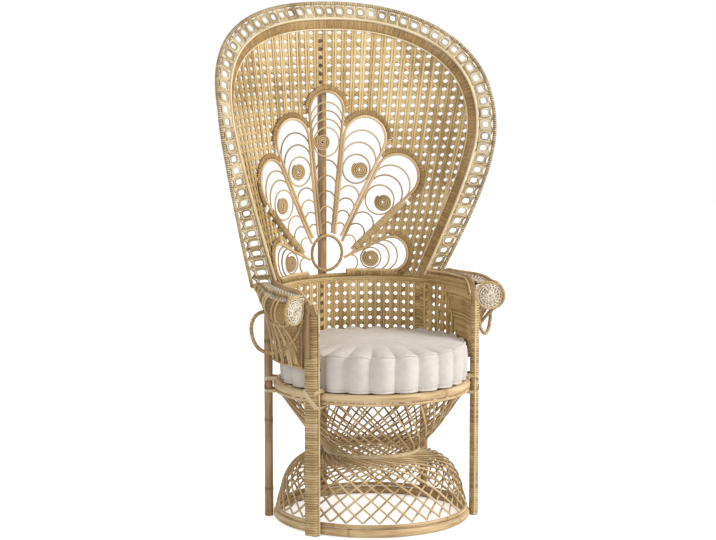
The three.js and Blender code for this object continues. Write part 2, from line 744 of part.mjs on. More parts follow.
function panelCutter(loop) {
  const shape = new THREE.Shape(loop.map(([x, z]) => new THREE.Vector2(x, z)));
  const cutter = new THREE.ExtrudeGeometry(shape, { depth: 4 * wallThickness, bevelEnabled: false });
  cutter.translate(0, 0, -2 * wallThickness);
  const position = cutter.attributes.position;
  for (let i = 0; i < position.count; i += 1) {
    const spot = onBack(position.getX(i), position.getY(i), position.getZ(i));
    position.setXYZ(i, spot.x, spot.y, spot.z);
  }
  return cutter;
}

addPart('back_panel', pierce(panelSheet, panelOpenings()), cane);

// Arms: a woven wing that rolls over outward, ribs up to it from the wall's foot, and a scroll at the front
const wingCourse = new THREE.CatmullRomCurve3(armRise.map(({ angle, reach, roll }) =>
  new THREE.Vector3(angle, reach, roll)));
const railCourse = new THREE.CatmullRomCurve3(armRise.map(({ angle, rail, height }) =>
  new THREE.Vector3(angle, rail, height)));

function wingSpot(u, across, thick, past = 0) {
  const { x: angle, y: reach, z: roll } = wingCourse.getPoint(u);
  const { y: rail, z: height } = railCourse.getPoint(u);
  const start = rail + frontPole / 2 + 2 * clearance;
  const centre = reach - roll;
  if (across < wingFlat) {
    return { angle, radius: lerp(start, centre, across / wingFlat), height: height + thick };
  }
  const turn = rad(lerp(90, wingEnd, (across - wingFlat) / (1 - wingFlat))) - past / roll;
  return {
    angle,
    radius: centre + (roll + thick) * Math.cos(turn),
    height: height - roll + (roll + thick) * Math.sin(turn),
  };
}

function wing(side) {
  return bentSheet(6, 8, (u, v, w) => {
    const { radius, angle, height } = wingSpot(u, v, (w - 0.5) * wingThickness);
    return around(radius, angle, height, side);
  });
}

const ribFoot = wallRadius + railRod / 2 + clearance + facetSeat * ribRod / 2;

function wingAt(angle) {
  let low = 0;
  let high = 1;
  for (let i = 0; i < 30; i += 1) {
    const middle = (low + high) / 2;
    if (wingCourse.getPoint(middle).x > angle) {
      low = middle;
    } else {
      high = middle;
    }
  }
  return low;
}

function armRibs(side) {
  const angles = steps(ribPairs, 0, ribPairs).slice(0, ribPairs).flatMap((i) =>
    [ribFirstAngle + ribPitch * i - ribSplit / 2, ribFirstAngle + ribPitch * i + ribSplit / 2]);
  const foot = rod(steps(6, angles[0] - 1.5, angles[angles.length - 1] + 1.5).map((angle) =>
    around(ribFoot, angle, footRailHeight, side)), ribRod, 3);
  const ribs = angles.map((angle) => {
    const top = wingSpot(wingAt(angle), 1, 0, ribRod / 4 + clearance);
    const course = new THREE.QuadraticBezierCurve(new THREE.Vector2(ribFoot, footRailHeight),
      new THREE.Vector2(lerp(ribFoot, top.radius, 0.2), lerp(footRailHeight, top.height, 0.6)),
      new THREE.Vector2(top.radius, top.height));
    return rod(course.getPoints(3).map((spot) => around(spot.x, angle, spot.y, side)), ribRod, 3);
  });
  return fuse([foot, ...ribs]);
}

function armScroll(side) {
  const leg = legPlace(0, 0, 1);
  const heading = new THREE.Vector2(Math.sin(rad(scrollHeading)), Math.cos(rad(scrollHeading)));
  const onPlane = ([reach, height]) =>
    new THREE.Vector3(side * (leg.x + reach * heading.x), leg.y + reach * heading.y, height);
  const swing = rad(scrollHeading + frontLegAngle - 90);
  const beside = bindingDepth + clearance + scrollRod / 2;
  const legReach = pairHalf * Math.cos(swing) + Math.sqrt(beside ** 2 - (pairHalf * Math.sin(swing)) ** 2);
  const start = [legReach, bindingHeight - scrollRod];
  const end = onPlane([scrollTopReach, 0]);
  const topAngle = THREE.MathUtils.radToDeg(Math.atan2(side * end.x, -end.y));
  const rodAngle = THREE.MathUtils.radToDeg(scrollRod / 2 / Math.hypot(end.x, end.y));
  const under = wingSpot(wingAt(topAngle - rodAngle), 0, -wingThickness / 2 - 2 * clearance).height;
  const last = scrollSweep[scrollSweep.length - 1];
  const top = [lerp(last[1], under, 0.5), under].map((height) => [scrollTopReach, height]);
  const stations = [start, ...scrollSweep, ...top];
  return rod(new THREE.CatmullRomCurve3(stations.map(onPlane)).getPoints(24), scrollRod, 5);
}

for (const { label, side } of sides) {
  addPart(`arm_wing_${label}`, wing(side), cane);
  addPart(`arm_ribs_${label}`, armRibs(side), cane);
  addPart(`arm_scroll_${label}`, armScroll(side), binding);
}

// Loose round cushion: drawn-in sides with sewn tufts between two rolled edges, and a low crown
function cushion() {
  const rows = [[0, 0], [0.84, 0], [0.94, 0.05], [0.99, 0.16], [1, 0.26], [0.985, 0.5], [1, 0.8],
    [0.98, 0.92], [0.93, 0.98], [0.85, 1], [0.5, 1], [0, 1]];
  const profile = rows.map(([share, rise]) => new THREE.Vector2(share * cushionRadius, rise * cushionHeight));
  const form = new THREE.LatheGeometry(profile, 2 * cushionTufts);
  form.rotateX(Math.PI / 2);
  const position = form.attributes.position;
  for (let i = 0; i < position.count; i += 1) {
    const [x, y, z] = [position.getX(i), position.getY(i), position.getZ(i)];
    const radius = Math.hypot(x, y);
    const share = radius / cushionRadius;
    const seam = Math.abs(Math.cos(cushionTufts * Math.atan2(x, -y) / 2)) ** 6;
    const draw = share > 0.9 ? 1 - seam * tuftDepth / cushionRadius : 1;
    const crown = z > cushionHeight / 2 ? cushionCrown * (1 - share * share) : 0;
    position.setXYZ(i, x * draw, y * draw, z + crown);
  }
  return form.translate(0, -cushionForward, seatTop + clearance);
}

addPart('cushion', cushion(), linen);

// The origin is the middle of the chair's footprint on the floor
const extent = new THREE.Box3().setFromObject(chair);
chair.position.y = -(extent.min.y + extent.max.y) / 2;
const part = new THREE.Group();
part.add(chair);

export default part;
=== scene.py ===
# Looks of the peacock chair: bare poles, split cane, cane binding and a linen cushion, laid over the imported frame.
# Lengths are in millimetres about the middle of the hoops until a mesh is made, which is in metres.
import math

import bpy
import numpy as np
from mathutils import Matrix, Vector


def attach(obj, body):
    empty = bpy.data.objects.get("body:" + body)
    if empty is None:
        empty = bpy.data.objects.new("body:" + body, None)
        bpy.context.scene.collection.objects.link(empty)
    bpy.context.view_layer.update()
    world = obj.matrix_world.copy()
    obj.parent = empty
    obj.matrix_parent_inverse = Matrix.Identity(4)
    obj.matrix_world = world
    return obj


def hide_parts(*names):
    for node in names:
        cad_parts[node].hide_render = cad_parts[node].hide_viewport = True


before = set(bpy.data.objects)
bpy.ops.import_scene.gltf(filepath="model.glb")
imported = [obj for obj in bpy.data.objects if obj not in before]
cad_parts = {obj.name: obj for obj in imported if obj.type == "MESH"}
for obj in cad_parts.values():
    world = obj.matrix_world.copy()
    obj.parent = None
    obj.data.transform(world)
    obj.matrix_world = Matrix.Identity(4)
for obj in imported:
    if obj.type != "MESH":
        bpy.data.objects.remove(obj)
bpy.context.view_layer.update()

MM = 0.001
HOOP_CENTRE = np.array([0.0, -14.8, 0.0])
SIDES = (("left", -1.0), ("right", 1.0))
chance = np.random.default_rng(7)

# Hoops, pedestal and legs. A bare pole is drawn thinner than its solid by SKIN, because it swells at its growth rings.
SKIN = 0.6
HOOP_REACH = 285.0
HOOP_ROD = 24.0
HOOP_RADIUS = HOOP_REACH - HOOP_ROD / 2
FLOOR_HOOP_HEIGHT = 12.0
UPPER_FLOOR_HEIGHT = 30.3
UPPER_FLOOR_POLE = 11.6
SEAT_HOOP_HEIGHT = 393.0
SEAT_HOOP_POLE = 23.6
SEAT_TOP = 405.0
UNDER_HOOP_RADIUS = 277.2
UNDER_HOOP_HEIGHT = 376.74
UNDER_HOOP_ROD = 9.0
UNDER_HOOP_POLE = 8.8
DECK_RADIUS = 258.0
DECK_HEIGHT = 400.7
DECK_PITCH = 11.0
DECK_LINES = 23
BAR_OFFSET = 90.0
BAR_EDGE = 98.0
BAR_HEIGHT = 388.4
BAR_POLE = 15.6
SEAT_HOLE = 260.7
WEAVE_FOOT = 39.6
WEAVE_TOP = 377.7
WEAVE_LAYER = 3.6
WEAVE_RIM = 269.4
WAIST_RADIUS = 130.0
WAIST_HEIGHT = 201.0
CONE_TWIST = 57.0
DOME_TWIST = 98.0
STRAND_COUNT = 36
STRAND_ROD = 5.8
STRAND_STEPS = 73
STRAND_FADE = 6
TIE_ROD = 3.6
FRONT_LEG_ANGLE = 63.7
FRONT_LEG_RADIUS = 297.6
FRONT_POLE = 20.0
PAIR_HALF = 10.15
PAIR_TOP = 503.0
BINDING_DEPTH = 12.3
BINDING_FOOT = 4.6
BINDING_HEIGHT = 622.0
LEG_TRIM = 5.4
REAR_LEG_ANGLE = 118.6
REAR_LEG_RADIUS = 297.8
REAR_POLE = 25.0
REAR_BAND = 24.8
REAR_BAND_SPAN = (606.0, 672.0)
SPINE_POLE = 27.0
SPINE_RADIUS = 298.8
SPINE_HEIGHT = 1385.0
SLING_CLEAR = 0.3
SLING_REACH = 4.3
SLING_SHIFTS = (-4.4, 0.0, 4.4)
SLING_END = WEAVE_RIM + 3.5

# Low wall
WALL_RADIUS = 280.0
WALL_ROD = 8.4
FOOT_RAIL_HEIGHT = 470.0
WAIST_RAIL_HEIGHT = 670.0
WAIST_TOP = 675.3
WALL_FOOT = 475.3
WALL_TOP = 669.0
SIDE_TOP_LOW = 640.0
WALL_FRONT_ANGLE = 61.0
CORNER_ANGLE = 119.6
CORNER_STRIP = 3.0
CANE_PITCH = 26.0
CANE_RISE = 25.0
HOLE_ROWS = 7
HOLE_TOP = WALL_FOOT + HOLE_ROWS * CANE_RISE
HOLE_START = 82.0
EDGE_FOOT = 84.0
EDGE_TOP = 100.0
DENSE_PITCH = 4.7
DENSE_STEP = 0.6
DENSE_LIFT = 1.3
STAKE_PITCH = 9.0
STAKE_STEP = 1.8
STAKE_DEPTH = 2.0
STAKE_GIRTH = 2.0
LEG_GAP = 6.0
LEG_TURN = 3.0

# Flat cane: a strip's width and thickness, or a turn's width, thickness and pitch
DECK_STRIP = (9.4, 1.4)
SLING_STRIP = (4.0, 1.3)
OPEN_STRIP = (6.4, 1.1)
CLOSE_STRIP = (4.5, 1.2)
LOOP_STRIP = (3.5, 2.0)
WING_STRIP = (3.8, 1.1)
LOBE_STRIP = (4.4, 1.1)
WEB_TOP_STRIP = (4.6, 1.1)
WEB_FOOT_STRIP = (4.2, 1.1)
LEG_TURNS = (6.6, 1.9, 6.9)
REAR_TURNS = (5.2, 1.0, 5.6)
FOOT_RAIL_TURNS = (5.2, 0.8, 5.5)
WAIST_RAIL_TURNS = (4.6, 0.8, 4.9)
RIM_TURNS = (5.4, 1.0, 5.8)
BAND_TURNS = (4.3, 0.8, 4.6)
BORDER_TURNS = (4.6, 0.8, 5.0)
STRUT_TURNS = (4.8, 0.8, 5.1)
LOW_RIB_TURNS = (4.4, 0.7, 4.8)
FAN_RING_TURNS = (4.6, 0.7, 5.1)
HEM_TURNS = (4.8, 0.8, 5.2)
SCROLL_TURNS = (5.4, 0.8, 5.8)

# Back and rim
BACK_FLARE = 0.5
PANEL_EDGE = 26.5
RIM_SIDE = 471.0
RIM_SIDE_HEIGHT = 1110.0
RIM_TOP = 1431.0
RIM_FOOT = 318.0
RIM_ROUNDNESS = 2.3
RIM_INNER_ROD = 7.0
RIM_FRONT_ROD = 8.0
RIM_FRONT_LIFT = 8.0
RIM_OUTER_ROD = 11.0
BORDER_TOP_WIDTH = 50.0
BORDER_FOOT_WIDTH = 72.0
BORDER_TOP_FOLD = 30.0
BORDER_FOOT_FOLD = 85.0
FOLD_HEIGHT = 1180.0
ARCH_COUNT = 68

# Fan: the two ribs of a petal head out from its apex, given from the ring's centre
FAN_HEIGHT = 738.0
FAN_RING_RADIUS = 52.0
FAN_RING_ROD = 7.6
FAN_ROD = 9.0
FAN_FORWARD = 7.6
RIB_INSET = 4.95
EYE_RADIUS = 28.0
EYE_CANE = 5.8
EYE_TURNS = 3.9
PETALS = {
    "centre": {"apex": (0, -167), "angle": 0, "half": 6.16, "reach": 588.3, "eye": 497, "above": 3, "below": 5,
               "pitches": (25, 46)},
    "upper": {"apex": (14.8, -29.5), "angle": 16.7, "half": 10.55, "reach": 383, "eye": 289, "above": 2, "below": 4,
              "pitches": (37, 38)},
    "middle": {"apex": (-13.5, -84.5), "angle": 37.57, "half": 10.32, "reach": 390, "eye": 301, "above": 2, "below": 3,
               "pitches": (35, 41)},
    "lower": {"apex": (-46, -57), "angle": 78.5, "half": 12.3, "reach": 256.8, "eye": 191.8, "above": 2, "below": 1,
              "pitches": (26, 26)},
}
STRUT_FOOT = 120.0
STRUT_REACH = 352.0
STRUT_SLEEVE = (11.0, 20.5)
LOW_RIB_SLEEVE = (15.0, 19.0)
GUSSET_START = 136.0
ARC_DROP = 10.0
BORDER_BAND = 14.0
ARC_ROD = 4.5

# Arms: angle, rail radius, height, reach and roll from the back corner to the front leg
ARM_RISE = np.array([
    [111, 283, 686, 338, 9],
    [98, 284, 685, 342, 14],
    [85, 288, 683, 372, 26],
    [74, 293.5, 678, 392, 42],
], float)
WING_RISE = np.vstack([ARM_RISE, [68.5, 297, 677, 383, 39]])
FRONT_ANGLE = float(WING_RISE[-1, 0])
WING_END = -35.0
WING_FLAT = 0.35
CREST = 0.56
WING_STAKES = 34
WEAVE_LIFT = 0.9
ARM_ROD = 6.0
RIB_FOOT = 287.5
RIB_PAIRS = 5
RIB_FIRST = 73.4
RIB_STEP = 8.4
RIB_RAIL = (72.0, 110.0)
RIB_BOW = np.array([0.2, 0.6])
HEM_ROD = 7.0
SCROLL_ROD = 9.2
SCROLL_HEADING = 48.0
SCROLL_SWEEP = [[27.5, 611], [38, 575], [66, 537], [109, 515], [147, 522], [168, 550], [173, 588], [161, 617],
                [138, 630], [112, 627], [92, 638], [85, 655], [85, 675]]

# Cushion
CUSHION_RADIUS = 270.0
CUSHION_FORWARD = 12.0
CUSHION_FOOT = SEAT_TOP + 0.3
CUSHION_RISE = 110.0
CUSHION_CROWN = 12.0
CUSHION_TUFTS = 23
TUFT_COLUMNS = 12
TUFT_DEPTH = 20.0
TUFT_SINK = 13.0
TUFT_PUCKER = 1.4
TUFT_FOLDS = 6.5
BELLY_DEPTH = 7.0
BLOWN_MOST = 7.0
PIPING_ROD = 7.0


# Camera, at the photograph's viewing angle for a frame of 716 by 540
def photo_camera():
    data = bpy.data.cameras.new("photo_camera")
    data.sensor_width = 36.0
    data.lens = 115.52
    camera = bpy.data.objects.new("photo_camera", data)
    camera.location = (-3.2382, -5.6921, 1.5894)
    camera.rotation_euler = Vector((0.4859, 0.8640, -0.1321)).to_track_quat("-Z", "Y").to_euler()
    bpy.context.scene.collection.objects.link(camera)
    bpy.context.scene.camera = camera


photo_camera()


# Node helpers
def plug(tree, node, links):
    for key, value in links.items():
        socket = node.inputs[key]
        if isinstance(value, bpy.types.NodeSocket):
            tree.links.new(value, socket)
        else:
            socket.default_value = value


def knot(tree, kind, links=None, **settings):
    node = tree.nodes.new(kind)
    for key, value in settings.items():
        setattr(node, key, value)
    plug(tree, node, links or {})
    return node


def sums(tree, operation, first, second=0.0):
    return knot(tree, "ShaderNodeMath", {0: first, 1: second}, operation=operation).outputs[0]


def blend(tree, first, share, second, rest):
    return sums(tree, "ADD", sums(tree, "MULTIPLY", first, share), sums(tree, "MULTIPLY", second, rest))


def spread(tree, value, low, high, to_low, to_high):
    links = {"Value": value, "From Min": low, "From Max": high, "To Min": to_low, "To Max": to_high}
    return knot(tree, "ShaderNodeMapRange", links).outputs["Result"]


def noise(tree, place, scale, detail):
    return knot(tree, "ShaderNodeTexNoise", {"Vector": place, "Scale": scale, "Detail": detail}).outputs[0]


def tint(code):
    shares = [int(code[i:i + 2], 16) / 255 for i in (0, 2, 4)]
    return tuple(s / 12.92 if s < 0.04045 else ((s + 0.055) / 1.055) ** 2.4 for s in shares) + (1.0,)


def open_finish(name):
    material = bpy.data.materials.new(name)
    material.use_nodes = True
    return material, material.node_tree, material.node_tree.nodes["Principled BSDF"]


# Long fibres that follow each cane, with slow mottling over the whole chair, and painted shade that darkens each cane
# on two opposite sides of its section, for the dark gaps between canes
def fibre_group():
    tree = bpy.data.node_groups.new("cane_fibres", "ShaderNodeTree")
    for name, value in (("Fibres", 3.0), ("Streak", 14.0), ("Mottle", 9.0), ("Edge_Shade", 0.0)):
        tree.interface.new_socket(name, in_out="INPUT", socket_type="NodeSocketFloat").default_value = value
    for name in ("Tone", "Height"):
        tree.interface.new_socket(name, in_out="OUTPUT", socket_type="NodeSocketFloat")
    given = knot(tree, "NodeGroupInput").outputs
    made = knot(tree, "NodeGroupOutput")
    fibre = knot(tree, "ShaderNodeAttribute", attribute_name="fibre").outputs["Vector"]
    shade = knot(tree, "ShaderNodeAttribute", attribute_name="shade").outputs["Fac"]
    parts = knot(tree, "ShaderNodeSeparateXYZ", {0: fibre}).outputs
    run = sums(tree, "MULTIPLY", parts[2], given["Streak"])
    where = knot(tree, "ShaderNodeCombineXYZ", {0: sums(tree, "MULTIPLY", parts[0], given["Fibres"]),
                                                1: sums(tree, "MULTIPLY", parts[1], given["Fibres"]),
                                                2: sums(tree, "ADD", run, sums(tree, "MULTIPLY_ADD", shade, 37.0))})
    streaks = noise(tree, where.outputs[0], 1.0, 4.0)
    mottle = noise(tree, knot(tree, "ShaderNodeTexCoord").outputs["Object"], given["Mottle"], 3.0)
    tone = spread(tree, blend(tree, streaks, 0.6, mottle, 0.4), 0.34, 0.66, 0.0, 1.0)
    tone = sums(tree, "ADD", tone, sums(tree, "MULTIPLY", shade, 0.3))
    # Painted shade: each cane darker on two opposite sides, for the shadowed gaps between neighbouring canes and turns
    edge = spread(tree, sums(tree, "ABSOLUTE", parts[0]), 0.6, 0.95, 0.0, 1.0)
    tone = sums(tree, "SUBTRACT", tone, sums(tree, "MULTIPLY", edge, given["Edge_Shade"]))
    plug(tree, made, {"Tone": tone, "Height": streaks})
    return tree


FIBRES = fibre_group()


# edge, the last number, is the strength of the painted shade on two opposite sides of each cane
def cane_finish(name, dark, middle, light, fibres, streak, mottle, rough, bump, coat, edge=0.0):
    material, tree, shader = open_finish(name)
    grain = knot(tree, "ShaderNodeGroup", {"Fibres": fibres, "Streak": streak, "Mottle": mottle, "Edge_Shade": edge},
                 node_tree=FIBRES).outputs
    ramp = knot(tree, "ShaderNodeValToRGB", {"Fac": grain["Tone"]})
    ramp.color_ramp.elements[0].color = tint(dark)
    ramp.color_ramp.elements[1].color = tint(light)
    ramp.color_ramp.elements.new(0.45).color = tint(middle)
    relief = knot(tree, "ShaderNodeBump", {"Height": grain["Height"], "Strength": bump, "Distance": 0.0006})
    roughness = spread(tree, grain["Height"], 0.3, 0.7, rough + 0.1, rough - 0.08)
    plug(tree, shader, {"Base Color": ramp.outputs[0], "Roughness": roughness, "Normal": relief.outputs[0],
                        "Coat Weight": coat, "Coat Roughness": 0.35, "Specular IOR Level": 0.4})
    return material


POLE = cane_finish("rattan_pole", "6f5436", "a4845c", "c6a77c", 2.2, 9.0, 7.0, 0.5, 0.35, 0.15)
PEELED = cane_finish("peeled_pole", "94774e", "c9ab7d", "e2cba2", 2.2, 9.0, 7.0, 0.5, 0.35, 0.12)
CANE = cane_finish("split_cane", "b09468", "dcc59a", "f0e0bf", 2.6, 16.0, 9.0, 0.52, 0.3, 0.1)
# A darker copy of the split cane: painted shade for the strands inside the pedestal
LATTICE = cane_finish("lattice_cane", "7a5f3c", "c6a97c", "e6d1a9", 2.6, 16.0, 9.0, 0.52, 0.3, 0.1)
COIL = cane_finish("coiled_cane", "7d6641", "b69a6b", "d6be8f", 2.2, 14.0, 9.0, 0.55, 0.35, 0.1)
# From here the last number is the painted shade on the sides of each cane, for the dark gaps between canes and turns
EYE = cane_finish("eye_cane", "5f4a2b", "b4976a", "d6bd8c", 2.2, 14.0, 9.0, 0.55, 0.35, 0.1, 1.0)
GOLDEN = cane_finish("golden_cane", "8e7142", "d0b27c", "ecd7a8", 2.6, 16.0, 6.0, 0.5, 0.3, 0.12, 0.6)
PALE = cane_finish("bleached_cane", "8d7b5f", "ddd0ba", "f5eee2", 2.6, 16.0, 30.0, 0.6, 0.3, 0.05, 0.7)
BINDING = cane_finish("bound_cane", "8a6d42", "c4a674", "dfc699", 1.8, 22.0, 8.0, 0.5, 0.35, 0.12, 0.5)
BAND = cane_finish("dense_binding", "745833", "b08e5b", "cdae7a", 1.8, 22.0, 8.0, 0.52, 0.35, 0.1, 0.5)
BORDER = cane_finish("border_cane", "765f3e", "cab48a", "e6d7b4", 2.6, 16.0, 12.0, 0.55, 0.3, 0.08, 0.85)


def linen_finish():
    material, tree, shader = open_finish("ivory_linen")
    place = knot(tree, "ShaderNodeTexCoord").outputs["Object"]
    thread = {"Vector": place, "Scale": 420.0, "Distortion": 1.6, "Detail": 2.0, "Detail Scale": 2.0}
    threads = [knot(tree, "ShaderNodeTexWave", thread, bands_direction=axis).outputs["Fac"] for axis in "XYZ"]
    weave = sums(tree, "MULTIPLY", sums(tree, "ADD", sums(tree, "ADD", threads[0], threads[1]), threads[2]), 0.333)
    slub = noise(tree, place, 60.0, 4.0)
    tone = blend(tree, weave, 0.2, blend(tree, slub, 0.5, noise(tree, place, 9.0, 2.0), 0.5), 0.8)
    ramp = knot(tree, "ShaderNodeValToRGB", {"Fac": tone})
    ramp.color_ramp.elements[0].position = 0.25
    ramp.color_ramp.elements[1].position = 0.75
    ramp.color_ramp.elements[0].color = tint("c9c1b9")
    ramp.color_ramp.elements[1].color = tint("e6e0da")
    height = sums(tree, "ADD", weave, sums(tree, "MULTIPLY", slub, 1.4))
    relief = knot(tree, "ShaderNodeBump", {"Height": height, "Strength": 0.3, "Distance": 0.0008})
    roughness = spread(tree, tone, 0.3, 0.7, 0.95, 0.82)
    plug(tree, shader, {"Base Color": ramp.outputs[0], "Roughness": roughness, "Normal": relief.outputs[0],
                        "Sheen Weight": 0.25, "Sheen Roughness": 0.5, "Specular IOR Level": 0.25})
    return material


LINEN = linen_finish()


# Geometry trees
def open_tree(name, inputs):
    tree = bpy.data.node_groups.new(name, "GeometryNodeTree")
    tree.interface.new_socket("Geometry", in_out="INPUT", socket_type="NodeSocketGeometry")
    for label, kind in inputs.items():
        tree.interface.new_socket(label, in_out="INPUT", socket_type="NodeSocket" + kind)
    tree.interface.new_socket("Geometry", in_out="OUTPUT", socket_type="NodeSocketGeometry")
    return tree, knot(tree, "NodeGroupInput").outputs, knot(tree, "NodeGroupOutput").inputs


def close_tree(tree, geometry, given, made):
    whole = knot(tree, "GeometryNodeRealizeInstances", {"Geometry": geometry})
    painted = knot(tree, "GeometryNodeSetMaterial", {"Geometry": whole.outputs[0], "Material": given["Material"]})
    tree.links.new(painted.outputs[0], made["Geometry"])
    return tree


def named(tree, name, kind="FLOAT_VECTOR"):
    return knot(tree, "GeometryNodeInputNamedAttribute", {"Name": name}, data_type=kind).outputs["Attribute"]


def followed(tree, given):
    return knot(tree, "GeometryNodeMeshToCurve", {"Mesh": given["Geometry"]}).outputs[0]


def disc(tree, facets, diameter):
    radius = sums(tree, "MULTIPLY", diameter, 0.5)
    return knot(tree, "GeometryNodeCurvePrimitiveCircle", {"Resolution": facets, "Radius": radius}).outputs[0]


# Sweeps a section along every course of a mesh of edges, and marks each point with its place round and along the cane
def swept(tree, course, section, flat=False):
    if flat:
        course = knot(tree, "GeometryNodeSetCurveNormal", {"Curve": course, "Normal": named(tree, "facing")},
                      mode="FREE").outputs[0]
    along = knot(tree, "GeometryNodeCaptureAttribute", {"Geometry": course})
    along.capture_items.new("FLOAT", "Run")
    spot = knot(tree, "GeometryNodeSplineParameter")
    tree.links.new(spot.outputs["Length"], along.inputs["Run"])
    about = knot(tree, "GeometryNodeCaptureAttribute", {"Geometry": section})
    about.capture_items.new("FLOAT", "Round")
    tree.links.new(spot.outputs["Factor"], about.inputs["Round"])
    skin = knot(tree, "GeometryNodeCurveToMesh", {
        "Curve": along.outputs["Geometry"], "Profile Curve": about.outputs["Geometry"],
        "Scale": named(tree, "girth", "FLOAT"), "Fill Caps": True})
    angle = sums(tree, "MULTIPLY", about.outputs["Round"], 2 * math.pi)
    mark = knot(tree, "ShaderNodeCombineXYZ", {0: sums(tree, "COSINE", angle), 1: sums(tree, "SINE", angle),
                                               2: along.outputs["Run"]})
    return knot(tree, "GeometryNodeStoreNamedAttribute", {
        "Geometry": skin.outputs[0], "Name": "fibre", "Value": mark.outputs[0]}, data_type="FLOAT_VECTOR").outputs[0]


# Copies of one shape, each with its own shade
def copied(tree, points, shape, rotation):
    copies = knot(tree, "GeometryNodeInstanceOnPoints", {"Points": points, "Instance": shape, "Rotation": rotation})
    pick = knot(tree, "FunctionNodeRandomValue", {"Seed": 3, 2: -0.5, 3: 0.5}, data_type="FLOAT")
    return knot(tree, "GeometryNodeStoreNamedAttribute", {
        "Geometry": copies.outputs[0], "Name": "shade", "Value": pick.outputs[1]},
        data_type="FLOAT", domain="INSTANCE").outputs[0]


def round_canes_tree():
    tree, given, made = open_tree("round_canes", {"Diameter": "Float", "Facets": "Int", "Material": "Material"})
    canes = swept(tree, followed(tree, given), disc(tree, given["Facets"], given["Diameter"]))
    return close_tree(tree, canes, given, made)


def flat_canes_tree():
    tree, given, made = open_tree("flat_canes", {"Width": "Float", "Thickness": "Float", "Material": "Material"})
    section = knot(tree, "GeometryNodeCurvePrimitiveQuadrilateral", {"Width": given["Thickness"],
                                                                     "Height": given["Width"]})
    return close_tree(tree, swept(tree, followed(tree, given), section.outputs[0], True), given, made)


# Copies of the same canes turned about the hoops' axis
def turned_canes_tree():
    tree, given, made = open_tree("turned_canes", {"Diameter": "Float", "Facets": "Int", "Copies": "Int",
                                                   "Axis": "Vector", "Material": "Material"})
    canes = swept(tree, followed(tree, given), disc(tree, given["Facets"], given["Diameter"]))
    seats = knot(tree, "GeometryNodeMeshLine", {"Count": given["Copies"], "Start Location": given["Axis"],
                                                "Offset": (0.0, 0.0, 0.0)})
    step = sums(tree, "DIVIDE", 2 * math.pi, given["Copies"])
    angle = sums(tree, "MULTIPLY", knot(tree, "GeometryNodeInputIndex").outputs[0], step)
    turn = knot(tree, "FunctionNodeAxisAngleToRotation", {"Axis": (0.0, 0.0, 1.0), "Angle": angle})
    return close_tree(tree, copied(tree, seats.outputs[0], canes, turn.outputs[0]), given, made)


# Turns of cane set side by side along a course, each a copy of one ring
def turns_tree():
    tree, given, made = open_tree("cane_turns", {"Ring": "Object", "Pitch": "Float", "Slant": "Float",
                                                 "Material": "Material"})
    seats = knot(tree, "GeometryNodeResampleCurve", {"Curve": followed(tree, given), "Length": given["Pitch"]},
                 mode="LENGTH")
    ring = knot(tree, "GeometryNodeObjectInfo", {"Object": given["Ring"]})
    heading = knot(tree, "GeometryNodeInputTangent")
    stand = knot(tree, "FunctionNodeAxesToRotation", {0: heading.outputs[0], 1: named(tree, "facing")},
                 primary_axis="Z", secondary_axis="X")
    lean = knot(tree, "FunctionNodeAxisAngleToRotation", {"Axis": (0.0, 1.0, 0.0), "Angle": given["Slant"]})
    turned = knot(tree, "FunctionNodeRotateRotation", {0: stand.outputs[0], 1: lean.outputs[0]},
                  rotation_space="LOCAL")
    turns = copied(tree, seats.outputs[0], ring.outputs["Geometry"], turned.outputs[0])
    return close_tree(tree, turns, given, made)


# A cane wound in a flat coil at each point of a mesh
def coil_tree():
    tree, given, made = open_tree("wound_coil", {"Diameter": "Float", "Radius": "Float", "Turns": "Float",
                                                 "Material": "Material"})
    half = sums(tree, "MULTIPLY", given["Diameter"], 0.5)
    course = knot(tree, "GeometryNodeCurveSpiral", {
        "Resolution": 18, "Rotations": given["Turns"], "Start Radius": half,
        "End Radius": sums(tree, "SUBTRACT", given["Radius"], half), "Height": 0.0})
    even = knot(tree, "GeometryNodeStoreNamedAttribute", {
        "Geometry": course.outputs[0], "Name": "girth", "Value": 1.0}, data_type="FLOAT")
    coil = swept(tree, even.outputs[0], disc(tree, 8, given["Diameter"]))
    stand = knot(tree, "FunctionNodeAxesToRotation", {0: named(tree, "facing"), 1: named(tree, "upward")},
                 primary_axis="Z", secondary_axis="X")
    return close_tree(tree, copied(tree, given["Geometry"], coil, stand.outputs[0]), given, made)


ROUND_CANES = round_canes_tree()
FLAT_CANES = flat_canes_tree()
TURNED_CANES = turned_canes_tree()
CANE_TURNS = turns_tree()
WOUND_COIL = coil_tree()


# A mesh of edges that the trees follow: each course has points, and may have facings, girths and shades
def course_mesh(name, courses, centre=HOOP_CENTRE, shaded_points=True):
    points, edges, facings, girths, shades = [], [], [], [], []
    count = 0
    for course in courses:
        spots = np.asarray(course["points"], float)
        size = len(spots)
        order = np.arange(size) + count
        links = np.stack([order[:-1], order[1:]], 1)
        if course.get("closed"):
            links = np.vstack([links, [[order[-1], order[0]]]])
        points.append((spots + centre) * MM)
        edges.append(links)
        facings.append(np.broadcast_to(course.get("facing", np.array([0.0, -1.0, 0.0])), (size, 3)))
        girths.append(np.broadcast_to(course.get("girth", 1.0), (size,)))
        shades.append(np.broadcast_to(course.get("shade", chance.uniform(-1, 1)), (size,)))
        count += size
    mesh = bpy.data.meshes.new(name)
    mesh.vertices.add(count)
    mesh.vertices.foreach_set("co", np.concatenate(points).ravel())
    links = np.concatenate(edges)
    mesh.edges.add(len(links))
    mesh.edges.foreach_set("vertices", links.ravel().astype(np.int32))
    mesh.attributes.new("facing", "FLOAT_VECTOR", "POINT").data.foreach_set("vector", np.concatenate(facings).ravel())
    mesh.attributes.new("girth", "FLOAT", "POINT").data.foreach_set("value", np.concatenate(girths))
    if shaded_points:
        mesh.attributes.new("shade", "FLOAT", "POINT").data.foreach_set("value", np.concatenate(shades))
    mesh.update()
    return mesh


